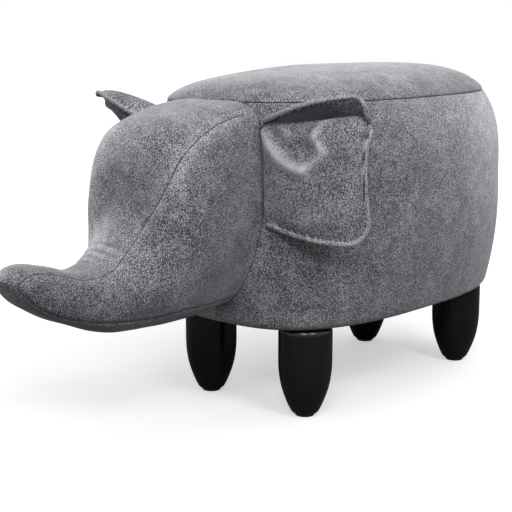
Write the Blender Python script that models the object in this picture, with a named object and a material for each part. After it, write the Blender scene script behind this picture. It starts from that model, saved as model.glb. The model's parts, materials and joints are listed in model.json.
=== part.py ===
"""Animal footstool: a padded oval seat on four turned legs, made up as a standing elephant.

The head faces -Y, the elephant's left side is +X and +Z is up. The origin is on the floor, under
the middle of the overall box. All lengths are in metres.
"""

import math

import bmesh
import bpy
from mathutils import Matrix, Vector

# Clearances between pieces that touch, and round foam and stuffing
GAP = 0.0003
SOFT_GAP = 0.0006

# Padded body: an oval drum with a bulge, standing on the rim of its lower edge
BODY_HALF_WIDTH = 0.154
BODY_HALF_LENGTH = 0.236
BODY_HEIGHT = 0.249
RIM_INSET = 0.020
SEAM_INSET = 0.016
CROWN_RISE = 0.031
CROWN_FLAT_HALF_WIDTH = 0.035
SEAT_LEAN = 0.012
UPPER_WALL_POWER = 3.5
CROWN_FRONT_FALL_SHARE = 0.14
CROWN_FRONT_FALL_REACH_SHARE = 0.45
EDGE_RADIUS = 0.010
FLANGE_WIDTH = 0.012
BULGE_HEIGHT_SHARE = 0.56
RIM_SQUARENESS = 2.8
BULGE_SQUARENESS = 2.4
CROWN_SQUARENESS = 2.4
CROWN_ROUNDNESS = 1.5
BODY_SEGMENTS = 40
WALL_HEIGHT_SHARES = (0.12, 0.25, 0.40, 0.56, 0.70, 0.82, 0.92, 1.0)
CROWN_INSET_SHARES = (0.0, 0.04, 0.12, 0.27, 0.50, 0.75, 1.0)
EDGE_ARC_DEGREES = (0, 35, 65, 90)

# Upholstery leather and the seams between its panels
LEATHER = 0.0014
SEAM_GAP = 0.0003

# Head and trunk, measured forward from the front of the body
HEAD_REACH = 0.276
HEAD_HALF_WIDTH = 0.078
HEAD_REFINEMENT = 2
STRIP_SEGMENTS = 5
SIDE_SEGMENTS = 5
TRUNK_FILLING_STATION = 8
NECK_STATIONS = 4
SEARCH_STEPS = 30
SIDE_PANEL_LAST_STATION = 13

# One row for each cross-section, from inside the body to the trunk's tip:
# forehead line (reach, height), chin line (reach, height), half-width, squareness of the upper and
# the lower half, and the angles of the upper and the lower seam in degrees
HEAD_STATION_SHARES = (
    (-0.150, 1.004, -0.150, 0.108, 0.885, 5.0, 1.80, 57, 51),
    (0.014, 1.006, -0.014, 0.092, 0.890, 5.0, 1.80, 57, 51),
    (0.196, 0.980, 0.094, 0.078, 0.955, 3.6, 1.80, 53, 52),
    (0.374, 0.920, 0.196, 0.072, 1.000, 2.8, 1.80, 49, 53),
    (0.443, 0.800, 0.297, 0.073, 0.940, 2.5, 1.80, 46, 53),
    (0.428, 0.663, 0.388, 0.079, 0.825, 2.4, 1.85, 45, 52),
    (0.424, 0.542, 0.471, 0.086, 0.700, 2.4, 1.95, 45, 51),
    (0.500, 0.450, 0.558, 0.100, 0.600, 2.5, 2.10, 44, 49),
    (0.591, 0.392, 0.656, 0.131, 0.510, 2.6, 2.40, 43, 47),
    (0.699, 0.376, 0.739, 0.170, 0.430, 2.8, 2.80, 42, 45),
    (0.801, 0.411, 0.815, 0.205, 0.380, 3.0, 3.00, 42, 44),
    (0.884, 0.434, 0.884, 0.247, 0.340, 3.0, 3.00, 40, 42),
    (0.946, 0.432, 0.935, 0.283, 0.300, 2.8, 2.80, 34, 36),
    (0.982, 0.410, 0.971, 0.325, 0.240, 2.5, 2.50, 13, 13),
    (0.996, 0.392, 0.993, 0.358, 0.130, 2.2, 2.20, 13, 13),
)
TIP_SHARES = (1.0, 0.380)

# Turned legs, from the foot up: radius and height as shares of the leg's radius and length
LEG_DIAMETER = 0.061
LEG_LENGTH = 0.1003
LEG_INSET_X = 0.081
LEG_INSET_Y = 0.0815
LEG_STEPS = 28
LEG_PROFILE_SHARES = (
    (0.40, 0.0),
    (0.47, 0.012),
    (0.53, 0.030),
    (0.63, 0.090),
    (0.72, 0.156),
    (0.80, 0.222),
    (0.87, 0.289),
    (0.92, 0.356),
    (0.96, 0.430),
    (0.985, 0.500),
    (1.0, 0.605),
    (1.0, 0.945),
    (0.975, 0.980),
    (0.93, 1.0),
)
GLIDE_DIAMETER = 0.022
GLIDE_THICKNESS = 0.003
GLIDE_CHAMFER = 0.0008
GLIDE_STEPS = 20

# Bolts that hold the legs, and the tee nuts that take them
BOLT_DIAMETER = 0.008
BOLT_DEPTH_IN_LEG = 0.034
BOLT_STAND_ABOVE_NUT = 0.004
BOLT_STEPS = 12
NUT_BARREL_DIAMETER = 0.011
NUT_BARREL_LENGTH = 0.014
NUT_FLANGE_DIAMETER = 0.020
NUT_FLANGE_THICKNESS = 0.0015

# Boards and panels of the frame
DUST_COVER_THICKNESS = 0.0008
DUST_COVER_MARGIN = 0.004
BASE_THICKNESS = 0.012
SEAT_BOARD_THICKNESS = 0.012
SEAT_BOARD_MARGIN = 0.004
SEAT_FOAM_DEPTH = 0.034
SIDE_FOAM_DEPTH = 0.026
RAIL_THICKNESS = 0.012
RAIL_END_SPACE = 0.065
PANEL_END_SPACE = 0.060
FRAME_CORNER_X = 0.036
FRAME_CORNER_Y = 0.040
BLOCK_SIDE = 0.032
BLOCK_HEIGHT = 0.025
BLOCK_CHAMFER = 0.0015
CUT_OVERRUN = 0.010

# Screws through the base board and the seat board into the frame
SCREW_SHANK_DIAMETER = 0.004
SCREW_HEAD_DIAMETER = 0.008
SCREW_HEAD_HEIGHT = 0.003
SCREW_LENGTH = 0.034
SCREW_SINK = 0.0006
SCREW_STEPS = 8
RAIL_SCREW_END_SPACE = 0.045
PANEL_SCREW_END_SPACE = 0.018

# Ears: a padded flap on the neck seam, its upper part folded forward into a brim
EAR_LENGTH = 0.117
EAR_ROOT_LOW_SHARE = 0.482
EAR_ROOT_HIGH_SHARE = 0.930
EAR_BOTTOM_DIP = 0.018
EAR_DIP_TURN_SHARE = 0.6
EAR_LEFT_RISE = 0.026
EAR_RIGHT_RISE = 0.016
EAR_LEFT_ARCH = 0.0
EAR_RIGHT_ARCH = 0.009
EAR_LOWER_CORNER_RADIUS = 0.022
EAR_UPPER_CORNER_RADIUS = 0.012
EAR_ROOT_FOLD_RADIUS = 0.0030
EAR_OUTER_FOLD_RADIUS = 0.0120
EAR_FOLD_DEGREES = 45
EAR_ROOT_BRIM = 0.0020
EAR_OUTER_BRIM = 0.0240
EAR_BRIM_REACH_SHARE = 0.6
EAR_FORWARD_BOW = 0.010
EAR_BELLY = 0.006
EAR_SKIN = 0.0012
EAR_HALF_THICKNESS = 0.0040
EAR_PAD_SPACE = 0.0007
EAR_THIN_EDGE_SHARE = 0.30
EAR_ROOT_SPACE_OUT = 0.0010
EAR_ROOT_SPACE_FORWARD = 0.0004
EAR_ROOT_SAMPLES = 12
EAR_LEFT_DEGREES = 17
EAR_RIGHT_DEGREES = 2
EAR_LEFT_TWIST_DEGREES = 0
EAR_RIGHT_TWIST_DEGREES = 15
EAR_TWIST_DEPTH_SHARE = 0.18
EAR_LENGTH_SHARES = (0.0, 0.10, 0.26, 0.44, 0.62, 0.78, 0.90, 0.965, 1.0)
EAR_RISE_SHARES = (0.0, 0.10, 0.30, 0.55, 0.80, 1.0)
EAR_FOLD_STEPS = 3
EAR_BRIM_SHARES = (0.5, 0.88, 1.0)

# Heights that follow from the sizes above
LEG_FOOT = GLIDE_THICKNESS + GAP
LEG_TOP = LEG_FOOT + LEG_LENGTH
DUST_COVER_BOTTOM = LEG_TOP + GAP
RIM_HEIGHT = DUST_COVER_BOTTOM + DUST_COVER_THICKNESS + GAP
SEAM_HEIGHT = RIM_HEIGHT + BODY_HEIGHT
FILL_OFFSET = LEATHER + SOFT_GAP
EAR_EDGE_HALF_THICKNESS = EAR_SKIN + SEAM_GAP / 2
BASE_BOTTOM = RIM_HEIGHT + FILL_OFFSET
BASE_TOP = BASE_BOTTOM + BASE_THICKNESS
SEAT_BOARD_TOP = SEAM_HEIGHT - SEAT_FOAM_DEPTH
SEAT_BOARD_BOTTOM = SEAT_BOARD_TOP - SEAT_BOARD_THICKNESS
FRAME_BOTTOM = BASE_TOP + GAP
FRAME_TOP = SEAT_BOARD_BOTTOM - GAP
BLOCK_TOP = FRAME_BOTTOM + BLOCK_HEIGHT

LEVEL_STEP = EDGE_RADIUS / 4

# Places that follow from the sizes above; the body lies behind the middle of the overall box
BODY_Y = HEAD_REACH / 2
BODY_FRONT_Y = BODY_Y - BODY_HALF_LENGTH
LEG_SPREAD_X = BODY_HALF_WIDTH - LEG_INSET_X
LEG_SPREAD_Y = BODY_HALF_LENGTH - LEG_INSET_Y
RAIL_OUTER_X = BODY_HALF_WIDTH - RIM_INSET - SIDE_FOAM_DEPTH
PANEL_OUTER_Y = BODY_HALF_LENGTH - RIM_INSET - SIDE_FOAM_DEPTH
RAIL_HALF_LENGTH = PANEL_OUTER_Y - RAIL_END_SPACE
PANEL_HALF_WIDTH = RAIL_OUTER_X - PANEL_END_SPACE
WRAP_CORNER_X = RAIL_OUTER_X - FRAME_CORNER_X
WRAP_CORNER_Y = PANEL_OUTER_Y - FRAME_CORNER_Y
RAIL_SCREW_SPREAD = RAIL_HALF_LENGTH - RAIL_SCREW_END_SPACE
PANEL_SCREW_SPREAD = PANEL_HALF_WIDTH - PANEL_SCREW_END_SPACE
LEG_PLACES = {
    "front_left": (LEG_SPREAD_X, BODY_Y - LEG_SPREAD_Y),
    "front_right": (-LEG_SPREAD_X, BODY_Y - LEG_SPREAD_Y),
    "rear_left": (LEG_SPREAD_X, BODY_Y + LEG_SPREAD_Y),
    "rear_right": (-LEG_SPREAD_X, BODY_Y + LEG_SPREAD_Y),
}

LEATHER_COLOUR = (0.165, 0.172, 0.196)
LEG_COLOUR = (0.012, 0.012, 0.013)
GLIDE_COLOUR = (0.030, 0.030, 0.032)
PLYWOOD_COLOUR = (0.520, 0.360, 0.200)
PINE_COLOUR = (0.600, 0.440, 0.260)
FOAM_COLOUR = (0.750, 0.700, 0.520)
FIBRE_COLOUR = (0.850, 0.850, 0.840)
STEEL_COLOUR = (0.560, 0.570, 0.580)
DUST_COVER_COLOUR = (0.020, 0.020, 0.022)


def clear_scene():
    """Remove every object from the open file."""
    for item in list(bpy.data.objects):
        bpy.data.objects.remove(item, do_unlink=True)


def material(name, colour, roughness, metallic=0.0):
    """Return the named Principled material, made on first use."""
    made = bpy.data.materials.get(name)
    if made is None:
        made = bpy.data.materials.new(name)
        made.use_nodes = True
    shader = made.node_tree.nodes["Principled BSDF"]
    shader.inputs["Base Color"].default_value = (*colour, 1.0)
    shader.inputs["Roughness"].default_value = roughness
    shader.inputs["Metallic"].default_value = metallic
    return made


def finish_object(name, bm, surface, parent=None, crease_degrees=40):
    """Turn a bmesh into a named, shaded object with its material."""
    bmesh.ops.recalc_face_normals(bm, faces=bm.faces[:])
    mesh = bpy.data.meshes.new(name)
    bm.to_mesh(mesh)
    bm.free()
    mesh.shade_smooth()
    mesh.set_sharp_from_angle(angle=math.radians(crease_degrees))
    item = bpy.data.objects.new(name, mesh)
    bpy.context.collection.objects.link(item)
    item.data.materials.append(surface)
    item.parent = parent
    return item


def make_cutter(name, bm):
    """Turn a bmesh into a cutter that only Boolean modifiers use."""
    bmesh.ops.recalc_face_normals(bm, faces=bm.faces[:])
    mesh = bpy.data.meshes.new(name)
    bm.to_mesh(mesh)
    bm.free()
    item = bpy.data.objects.new(name, mesh)
    bpy.context.collection.objects.link(item)
    item.hide_render = True
    item.display_type = "WIRE"
    return item


def add_boolean(item, cutter, operation="DIFFERENCE"):
    """Cut an object with another, or keep what the two share."""
    step = item.modifiers.new(cutter.name, "BOOLEAN")
    step.operation = operation
    step.solver = "EXACT"
    step.object = cutter


def add_band(bm, lower, upper, closed=True):
    """Join two rows of vertices with a band of quads."""
    count = len(lower)
    last = count if closed else count - 1
    for index in range(last):
        after = (index + 1) % count
        bm.faces.new((lower[index], lower[after], upper[after], upper[index]))


def loft(bm, rings):
    """Add a closed solid through rings of points, capped at both ends."""
    rows = [[bm.verts.new(point) for point in ring] for ring in rings]
    for lower, upper in zip(rows, rows[1:]):
        add_band(bm, lower, upper)
    bm.faces.new(rows[0])
    bm.faces.new(rows[-1])


def shell_from_grids(bm, outer, inner):
    """Add a sheet with thickness from two open grids of points, with walls round its edge."""
    outer_rows = [[bm.verts.new(point) for point in row] for row in outer]
    inner_rows = [[bm.verts.new(point) for point in row] for row in inner]
    for rows in (outer_rows, inner_rows):
        for lower, upper in zip(rows, rows[1:]):
            add_band(bm, lower, upper, closed=False)
    for end in (0, -1):
        add_band(bm, outer_rows[end], inner_rows[end], closed=False)
        add_band(
            bm,
            [row[end] for row in outer_rows],
            [row[end] for row in inner_rows],
            closed=False,
        )


def add_box(bm, x_range, y_range, z_range):
    """Add a box between two x, two y and two z values."""
    middle = Vector([(low + high) / 2 for low, high in (x_range, y_range, z_range)])
    spans = Vector([high - low for low, high in (x_range, y_range, z_range)])
    place = Matrix.Translation(middle) @ Matrix.Diagonal((*spans, 1.0))
    return bmesh.ops.create_cube(bm, size=1.0, matrix=place)["verts"]


def add_turning(bm, profile, steps, x, y):
    """Spin a profile of (radius, height) points into a solid round a vertical axis."""
    rings = []
    for radius, height in profile:
        ring = []
        for step in range(steps):
            angle = math.tau * step / steps
            ring.append(Vector((x + radius * math.cos(angle), y + radius * math.sin(angle), height)))
        rings.append(ring)
    loft(bm, rings)


def oval_point(half_width, half_length, squareness, angle, height):
    """Return a point of a squared oval about the body's upright axis."""
    along_x = math.cos(angle)
    along_y = math.sin(angle)
    reach = (abs(along_x) ** squareness + abs(along_y) ** squareness) ** (-1.0 / squareness)
    return Vector((half_width * reach * along_x, BODY_Y + half_length * reach * along_y, height))


def wall_inset(share):
    """How far the side of the body lies inside its widest line, at a share of its height."""
    if share < BULGE_HEIGHT_SHARE:
        return RIM_INSET * (1.0 - share / BULGE_HEIGHT_SHARE) ** 2
    return SEAM_INSET * ((share - BULGE_HEIGHT_SHARE) / (1.0 - BULGE_HEIGHT_SHARE)) ** UPPER_WALL_POWER


def wall_squareness(height):
    """How square the body's oval is at a height: the rim follows the boards, the bulge is rounder."""
    share = (height - RIM_HEIGHT) / (BULGE_HEIGHT_SHARE * BODY_HEIGHT)
    share = min(max(share, 0.0), 1.0)
    return RIM_SQUARENESS + (BULGE_SQUARENESS - RIM_SQUARENESS) * share


def edge_profile():
    """Profile points (inset, height) round the rounded lower edge, with the turned-in flange."""
    points = [(RIM_INSET + EDGE_RADIUS + FLANGE_WIDTH, RIM_HEIGHT)]
    for degrees in EDGE_ARC_DEGREES:
        angle = math.radians(degrees)
        height = RIM_HEIGHT + EDGE_RADIUS * (1.0 - math.cos(angle))
        share = (height - RIM_HEIGHT) / BODY_HEIGHT
        points.append((wall_inset(share) + EDGE_RADIUS * (1.0 - math.sin(angle)), height))
    return points


def wall_profile():
    """Profile points (inset, height) from above the lower edge to the seat seam."""
    return [(wall_inset(share), RIM_HEIGHT + share * BODY_HEIGHT) for share in WALL_HEIGHT_SHARES]


def crown_profile():
    """Profile points (inset, height) from the seat seam over the shoulder to the flat of the seat."""
    span = BODY_HALF_WIDTH - CROWN_FLAT_HALF_WIDTH - SEAM_INSET
    points = []
    for share in CROWN_INSET_SHARES:
        swell = (1.0 - (1.0 - share) ** CROWN_SQUARENESS) ** (1.0 / CROWN_ROUNDNESS)
        points.append((SEAM_INSET + span * share, SEAM_HEIGHT + CROWN_RISE * swell))
    return points


def offset_profile(points, distance):
    """Move a profile inward by a distance, square to itself."""
    moved = []
    for index, (inset, height) in enumerate(points):
        before = points[max(index - 1, 0)]
        after = points[min(index + 1, len(points) - 1)]
        run = Vector((after[0] - before[0], after[1] - before[1])).normalized()
        moved.append((inset + distance * run.y, height - distance * run.x))
    return moved


def whole_profile(distance):
    """The closed body's profile, from under the rim to the top of the seat, moved inward."""
    points = edge_profile() + wall_profile() + crown_profile()[1:]
    return offset_profile(points, distance)


def lean_at_share(share):
    """How far forward the body leans at a share of its height: only above its widest line."""
    upper_share = (share - BULGE_HEIGHT_SHARE) / (1.0 - BULGE_HEIGHT_SHARE)
    return SEAT_LEAN * max(upper_share, 0.0) ** UPPER_WALL_POWER


def seat_lean(height):
    """How far forward the body leans at a height, straight between the levels of its wall."""
    share = (height - RIM_HEIGHT) / BODY_HEIGHT
    for low, high in zip(WALL_HEIGHT_SHARES, WALL_HEIGHT_SHARES[1:]):
        if low <= share <= high:
            blend = (share - low) / (high - low)
            return lean_at_share(low) + (lean_at_share(high) - lean_at_share(low)) * blend
    return lean_at_share(min(share, 1.0))


def oval_ring(inset, height, angles):
    """Points of the body's oval at an inset and a height."""
    squareness = wall_squareness(height)
    half_sizes = (BODY_HALF_WIDTH - inset, BODY_HALF_LENGTH - inset)
    ring = []
    for angle in angles:
        point = oval_point(*half_sizes, squareness, angle, height)
        forward_share = (BODY_Y - point.y) / (BODY_HALF_LENGTH * CROWN_FRONT_FALL_REACH_SHARE)
        fall = CROWN_FRONT_FALL_SHARE * min(max(forward_share, 0.0), 1.0)
        point.z -= fall * max(height - SEAM_HEIGHT, 0.0)
        point.y -= seat_lean(height)
        ring.append(point)
    return ring


def full_turn():
    """Angles all round the body."""
    return [math.tau * step / BODY_SEGMENTS for step in range(BODY_SEGMENTS)]


def body_slice(bm, distance, bottom, top):
    """Add the part of the body's form, moved inward, that lies between two heights."""
    profile = whole_profile(distance)
    heights = [height for _, height in profile]

    def inset_at(level):
        for (inset, height), (next_inset, next_height) in zip(profile, profile[1:]):
            if height <= level <= next_height and next_height > height:
                blend = (level - height) / (next_height - height)
                return inset + (next_inset - inset) * blend
        return profile[-1][0]

    levels = [bottom]
    levels += [height for height in heights if bottom + LEVEL_STEP < height < top - LEVEL_STEP]
    levels.append(top)
    loft(bm, [oval_ring(inset_at(level), level, full_turn()) for level in levels])


def body_form(bm, distance):
    """Add the whole body's form, moved inward by a distance, as a closed solid."""
    profile = whole_profile(distance)
    loft(bm, [oval_ring(inset, height, full_turn()) for inset, height in profile])


def catmull_rom(before, start, end, after, blend):
    """Smooth value between start and end, led by the values on both sides."""
    square = blend * blend
    cube = square * blend
    return 0.5 * (
        2.0 * start
        + (end - before) * blend
        + (2.0 * before - 5.0 * start + 4.0 * end - after) * square
        + (3.0 * start - before - 3.0 * end + after) * cube
    )


def head_station(place):
    """Row of head shares at a place along the head, between two stations where it isn't whole."""
    last = len(HEAD_STATION_SHARES) - 1
    index = min(int(place), last - 1)
    rows = [HEAD_STATION_SHARES[min(max(index + shift, 0), last)] for shift in (-1, 0, 1, 2)]
    blend = place - index
    return [catmull_rom(*values, blend) for values in zip(*rows)]


def head_point(reach_share, height_share):
    """Point of the head's middle plane at shares of its reach and of the body's height."""
    return Vector((0.0, BODY_FRONT_Y - HEAD_REACH * reach_share, RIM_HEIGHT + BODY_HEIGHT * height_share))


def sector_angles(upper_seam, lower_seam):
    """Angles round one section, starting at the left lower seam: side, top strip, side, chin strip."""
    upper = math.radians(upper_seam)
    lower = math.radians(lower_seam)
    sectors = (
        (-lower, upper, SIDE_SEGMENTS),
        (upper, math.pi - upper, STRIP_SEGMENTS),
        (math.pi - upper, math.pi + lower, SIDE_SEGMENTS),
        (math.pi + lower, math.tau - lower, STRIP_SEGMENTS),
    )
    angles = []
    for start, end, count in sectors:
        angles += [start + (end - start) * step / count for step in range(count)]
    return angles


def head_ring(place):
    """Points round the head's cross-section at a place along it."""
    row = head_station(place)
    top = head_point(row[0], row[1])
    under = head_point(row[2], row[3])
    middle = (top + under) / 2
    half_height = (top - under) / 2
    half_width = HEAD_HALF_WIDTH * row[4]
    ring = []
    for angle in sector_angles(row[7], row[8]):
        squareness = row[5] if math.sin(angle) >= 0.0 else row[6]
        across = math.copysign(abs(math.cos(angle)) ** (2.0 / squareness), math.cos(angle))
        along = math.copysign(abs(math.sin(angle)) ** (2.0 / squareness), math.sin(angle))
        ring.append(middle + half_height * along + Vector((half_width * across, 0.0, 0.0)))
    return ring


def head_rings(refinement, distance):
    """Rings of the head and trunk, moved inward by a distance, and the trunk's tip."""
    last = len(HEAD_STATION_SHARES) - 1
    rings = [head_ring(step / refinement) for step in range(last * refinement + 1)]
    tip = head_point(*TIP_SHARES)
    count = len(rings[0])
    moved = []
    for index, ring in enumerate(rings):
        before = rings[max(index - 1, 0)]
        after = rings[index + 1] if index + 1 < len(rings) else [tip] * count
        new_ring = []
        for side in range(count):
            along = after[side] - before[side]
            around = ring[(side + 1) % count] - ring[side - 1]
            new_ring.append(ring[side] + distance * along.cross(around).normalized())
        moved.append(new_ring)
    inward = Vector((0.0, distance, 0.0))
    return moved, tip + inward


def closed_head(bm, refinement, distance, first=0, last=None):
    """Add a closed solid through the head's rings, as far as the tip where no end is given."""
    rings, tip = head_rings(refinement, distance)
    picked = rings[first:] if last is None else rings[first:last]
    rows = [[bm.verts.new(point) for point in ring] for ring in picked]
    for lower, upper in zip(rows, rows[1:]):
        add_band(bm, lower, upper)
    bm.faces.new(rows[0])
    if last is None:
        end = bm.verts.new(tip)
        for start, after in zip(rows[-1], rows[-1][1:] + rows[-1][:1]):
            bm.faces.new((start, after, end))
    else:
        bm.faces.new(rows[-1])


def head_panel(name, surface, wanted):
    """Make one sewn panel of the head from the faces whose place the test picks."""
    outer, outer_tip = head_rings(HEAD_REFINEMENT, 0.0)
    inner, inner_tip = head_rings(HEAD_REFINEMENT, LEATHER)
    bm = bmesh.new()
    layers = []
    for rings, tip in ((outer, outer_tip), (inner, inner_tip)):
        rows = [[bm.verts.new(point) for point in ring] for ring in rings]
        end = bm.verts.new(tip)
        count = len(rows[0])
        for station, row in enumerate(rows):
            for side in range(count):
                if not wanted(station, side):
                    continue
                after = (side + 1) % count
                if station + 1 < len(rows):
                    following = rows[station + 1]
                    bm.faces.new((row[side], row[after], following[after], following[side]))
                else:
                    bm.faces.new((row[side], row[after], end))
        layers.append(rows + [[end]])
    twins = {}
    for outer_row, inner_row in zip(*layers):
        for outer_vertex, inner_vertex in zip(outer_row, inner_row):
            twins[outer_vertex] = inner_vertex
    border = [edge for edge in bm.edges if edge.is_boundary and edge.verts[0] in twins]
    pull_in_border(bm)
    for edge in border:
        start, end = edge.verts
        bm.faces.new((start, end, twins[end], twins[start]))
    loose = [vertex for vertex in bm.verts if not vertex.link_faces]
    bmesh.ops.delete(bm, geom=loose, context="VERTS")
    return finish_object(name, bm, surface)


def pull_in_border(bm):
    """Draw the open edges of a sheet back by half a seam gap, along the sheet."""
    moves = {}
    for vertex in bm.verts:
        if vertex.link_faces and vertex.is_boundary:
            inside = Vector((0.0, 0.0, 0.0))
            for face in vertex.link_faces:
                inside += face.calc_center_median() - vertex.co
            along = Vector((0.0, 0.0, 0.0))
            ends = [edge.other_vert(vertex).co for edge in vertex.link_edges if edge.is_boundary]
            if len(ends) == 2:
                along = (ends[1] - ends[0]).normalized()
            inside -= along * inside.dot(along)
            moves[vertex] = inside.normalized() * (SEAM_GAP / 2)
    for vertex, move in moves.items():
        vertex.co += move


def head_half_width(y, z):
    """Half-width of the head at a point of its middle plane, near the neck."""

    def side_of(place):
        row = head_station(place)
        top = head_point(row[0], row[1])
        under = head_point(row[2], row[3])
        return (under.y - top.y) * (z - top.z) - (under.z - top.z) * (y - top.y)

    near, far = 0.0, float(NECK_STATIONS)
    sign = math.copysign(1.0, side_of(near))
    for _ in range(SEARCH_STEPS):
        middle = (near + far) / 2
        if side_of(middle) * sign > 0.0:
            near = middle
        else:
            far = middle
    row = head_station(near)
    top = head_point(row[0], row[1])
    under = head_point(row[2], row[3])
    share = (z - (top.z + under.z) / 2) / ((top.z - under.z) / 2)
    squareness = row[5] if share > 0.0 else row[6]
    return HEAD_HALF_WIDTH * row[4] * max(1.0 - abs(share) ** squareness, 0.0) ** (1.0 / squareness)


def neck_seam_point(height_share):
    """Point on the left where the head meets the body, at a share of the body's height."""
    height = RIM_HEIGHT + height_share * BODY_HEIGHT
    inset = wall_inset(height_share)
    inner, outer = -math.pi / 2, 0.0
    for _ in range(SEARCH_STEPS):
        middle = (inner + outer) / 2
        point = oval_ring(inset, height, [middle])[0]
        if point.x < head_half_width(point.y, point.z):
            inner = middle
        else:
            outer = middle
    return oval_ring(inset, height, [inner])[0]


def ear_root_bulge(low, high):
    """How far the neck seam bulges out and forward of the straight line between two of its points."""
    up = (high - low).normalized()
    out_most = 0.0
    forward_most = 0.0
    for step in range(EAR_ROOT_SAMPLES + 1):
        blend = step / EAR_ROOT_SAMPLES
        point = neck_seam_point(EAR_ROOT_LOW_SHARE + (EAR_ROOT_HIGH_SHARE - EAR_ROOT_LOW_SHARE) * blend)
        off = point - low - up * (point - low).dot(up)
        out_most = max(out_most, off.x)
        forward_most = max(forward_most, -off.y)
    return out_most, forward_most


def ear_hinge(side, degrees):
    """Place of an ear's hinge: its low point, and axes that run out, back and up the neck seam.

    The hinge is a straight line, so it stands just clear of the seam where the seam bulges most.
    """
    low = neck_seam_point(EAR_ROOT_LOW_SHARE)
    high = neck_seam_point(EAR_ROOT_HIGH_SHARE)
    bulge_out, bulge_forward = ear_root_bulge(low, high)
    out = Vector((math.cos(math.radians(degrees)), math.sin(math.radians(degrees)), 0.0))
    up = (high - low).normalized()
    back = up.cross(out).normalized()
    out = back.cross(up).normalized()
    low += Vector((bulge_out + EAR_ROOT_SPACE_OUT, -bulge_forward - EAR_ROOT_SPACE_FORWARD, 0.0))
    place = Matrix((out, back, up)).transposed().to_4x4()
    place.translation = low
    if side < 0:
        flip = Matrix.Diagonal((-1.0, 1.0, 1.0, 1.0))
        place = flip @ place @ flip
    return place


def ear_root_height():
    """Length of the sewn edge of an ear."""
    low = neck_seam_point(EAR_ROOT_LOW_SHARE)
    high = neck_seam_point(EAR_ROOT_HIGH_SHARE)
    return (high - low).length


def corner_drop(distance_to_edge, radius):
    """How far a rounded corner draws an edge in, near the ear's outer end."""
    if distance_to_edge >= radius:
        return 0.0
    return radius - math.sqrt(radius ** 2 - (radius - distance_to_edge) ** 2)


def ear_middle_grid(side, rise_height, arch, twist_degrees):
    """Points of an ear's middle sheet, in its hinge's axes: each row runs up the ear.

    The arch lifts the middle of the brim. The twist swings all but the brim back about the seam.
    """
    root_height = ear_root_height()
    columns = []
    for share in EAR_LENGTH_SHARES:
        reach = EAR_LENGTH * share
        swell = math.sin(share * math.pi / 2)
        bottom = -EAR_BOTTOM_DIP * math.sin(share * math.pi * EAR_DIP_TURN_SHARE)
        bottom += corner_drop(EAR_LENGTH - reach, EAR_LOWER_CORNER_RADIUS)
        top = root_height + rise_height * swell + arch * math.sin(math.pi * share)
        top -= corner_drop(EAR_LENGTH - reach, EAR_UPPER_CORNER_RADIUS)
        fold = EAR_ROOT_FOLD_RADIUS + (EAR_OUTER_FOLD_RADIUS - EAR_ROOT_FOLD_RADIUS) * swell
        brim_swell = math.sin(min(share / EAR_BRIM_REACH_SHARE, 1.0) * math.pi / 2)
        brim = EAR_ROOT_BRIM + (EAR_OUTER_BRIM - EAR_ROOT_BRIM) * brim_swell
        lean = math.radians(EAR_FOLD_DEGREES)
        fold_height = top - fold * math.sin(lean) - brim * math.cos(lean)
        bow = EAR_FORWARD_BOW * math.sin(math.pi * share)
        column = []
        for rise in EAR_RISE_SHARES:
            belly = EAR_BELLY * math.sin(math.pi * rise) * swell
            column.append(Vector((side * reach, -bow - belly, bottom + (fold_height - bottom) * rise)))
        for step in range(1, EAR_FOLD_STEPS + 1):
            angle = lean * step / EAR_FOLD_STEPS
            forward = bow + fold * (1.0 - math.cos(angle))
            column.append(Vector((side * reach, -forward, fold_height + fold * math.sin(angle))))
        fold_end = column[-1]
        for brim_share in EAR_BRIM_SHARES:
            step = Vector((0.0, -math.sin(lean), math.cos(lean))) * brim * brim_share
            column.append(fold_end + step)
        for index, point in enumerate(column):
            fall = 1.0 - point.z / (root_height + rise_height)
            settled = 1.0 - math.exp(-max(fall, 0.0) / EAR_TWIST_DEPTH_SHARE)
            turn = Matrix.Rotation(side * math.radians(twist_degrees) * settled, 3, "Z")
            column[index] = turn @ point
        columns.append(column)
    return columns


def grid_normals(grid):
    """Unit normals of a grid of points, from the points beside each one."""
    normals = []
    for column_index, column in enumerate(grid):
        before = grid[max(column_index - 1, 0)]
        after = grid[min(column_index + 1, len(grid) - 1)]
        row = []
        for index in range(len(column)):
            across = after[index] - before[index]
            upward = column[min(index + 1, len(column) - 1)] - column[max(index - 1, 0)]
            row.append(across.cross(upward).normalized())
        normals.append(row)
    return normals


def ear_face(grid, normals, depth, sign):
    """Grid of points at a depth under one outer face of an ear, which is thin at its edges."""
    rows = len(grid[0]) - 1
    face = []
    for column, length_share in enumerate(EAR_LENGTH_SHARES):
        points = []
        for row in range(rows + 1):
            edge = min(length_share, 1.0 - length_share, row / rows, 1.0 - row / rows)
            fullness = math.sin(min(edge / EAR_THIN_EDGE_SHARE, 1.0) * math.pi / 2)
            half = EAR_EDGE_HALF_THICKNESS
            half += (EAR_HALF_THICKNESS - EAR_EDGE_HALF_THICKNESS) * fullness
            shift = sign * max(half - depth, SEAM_GAP / 2)
            points.append(grid[column][row] + normals[column][row] * shift)
        face.append(points)
    return face


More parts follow.
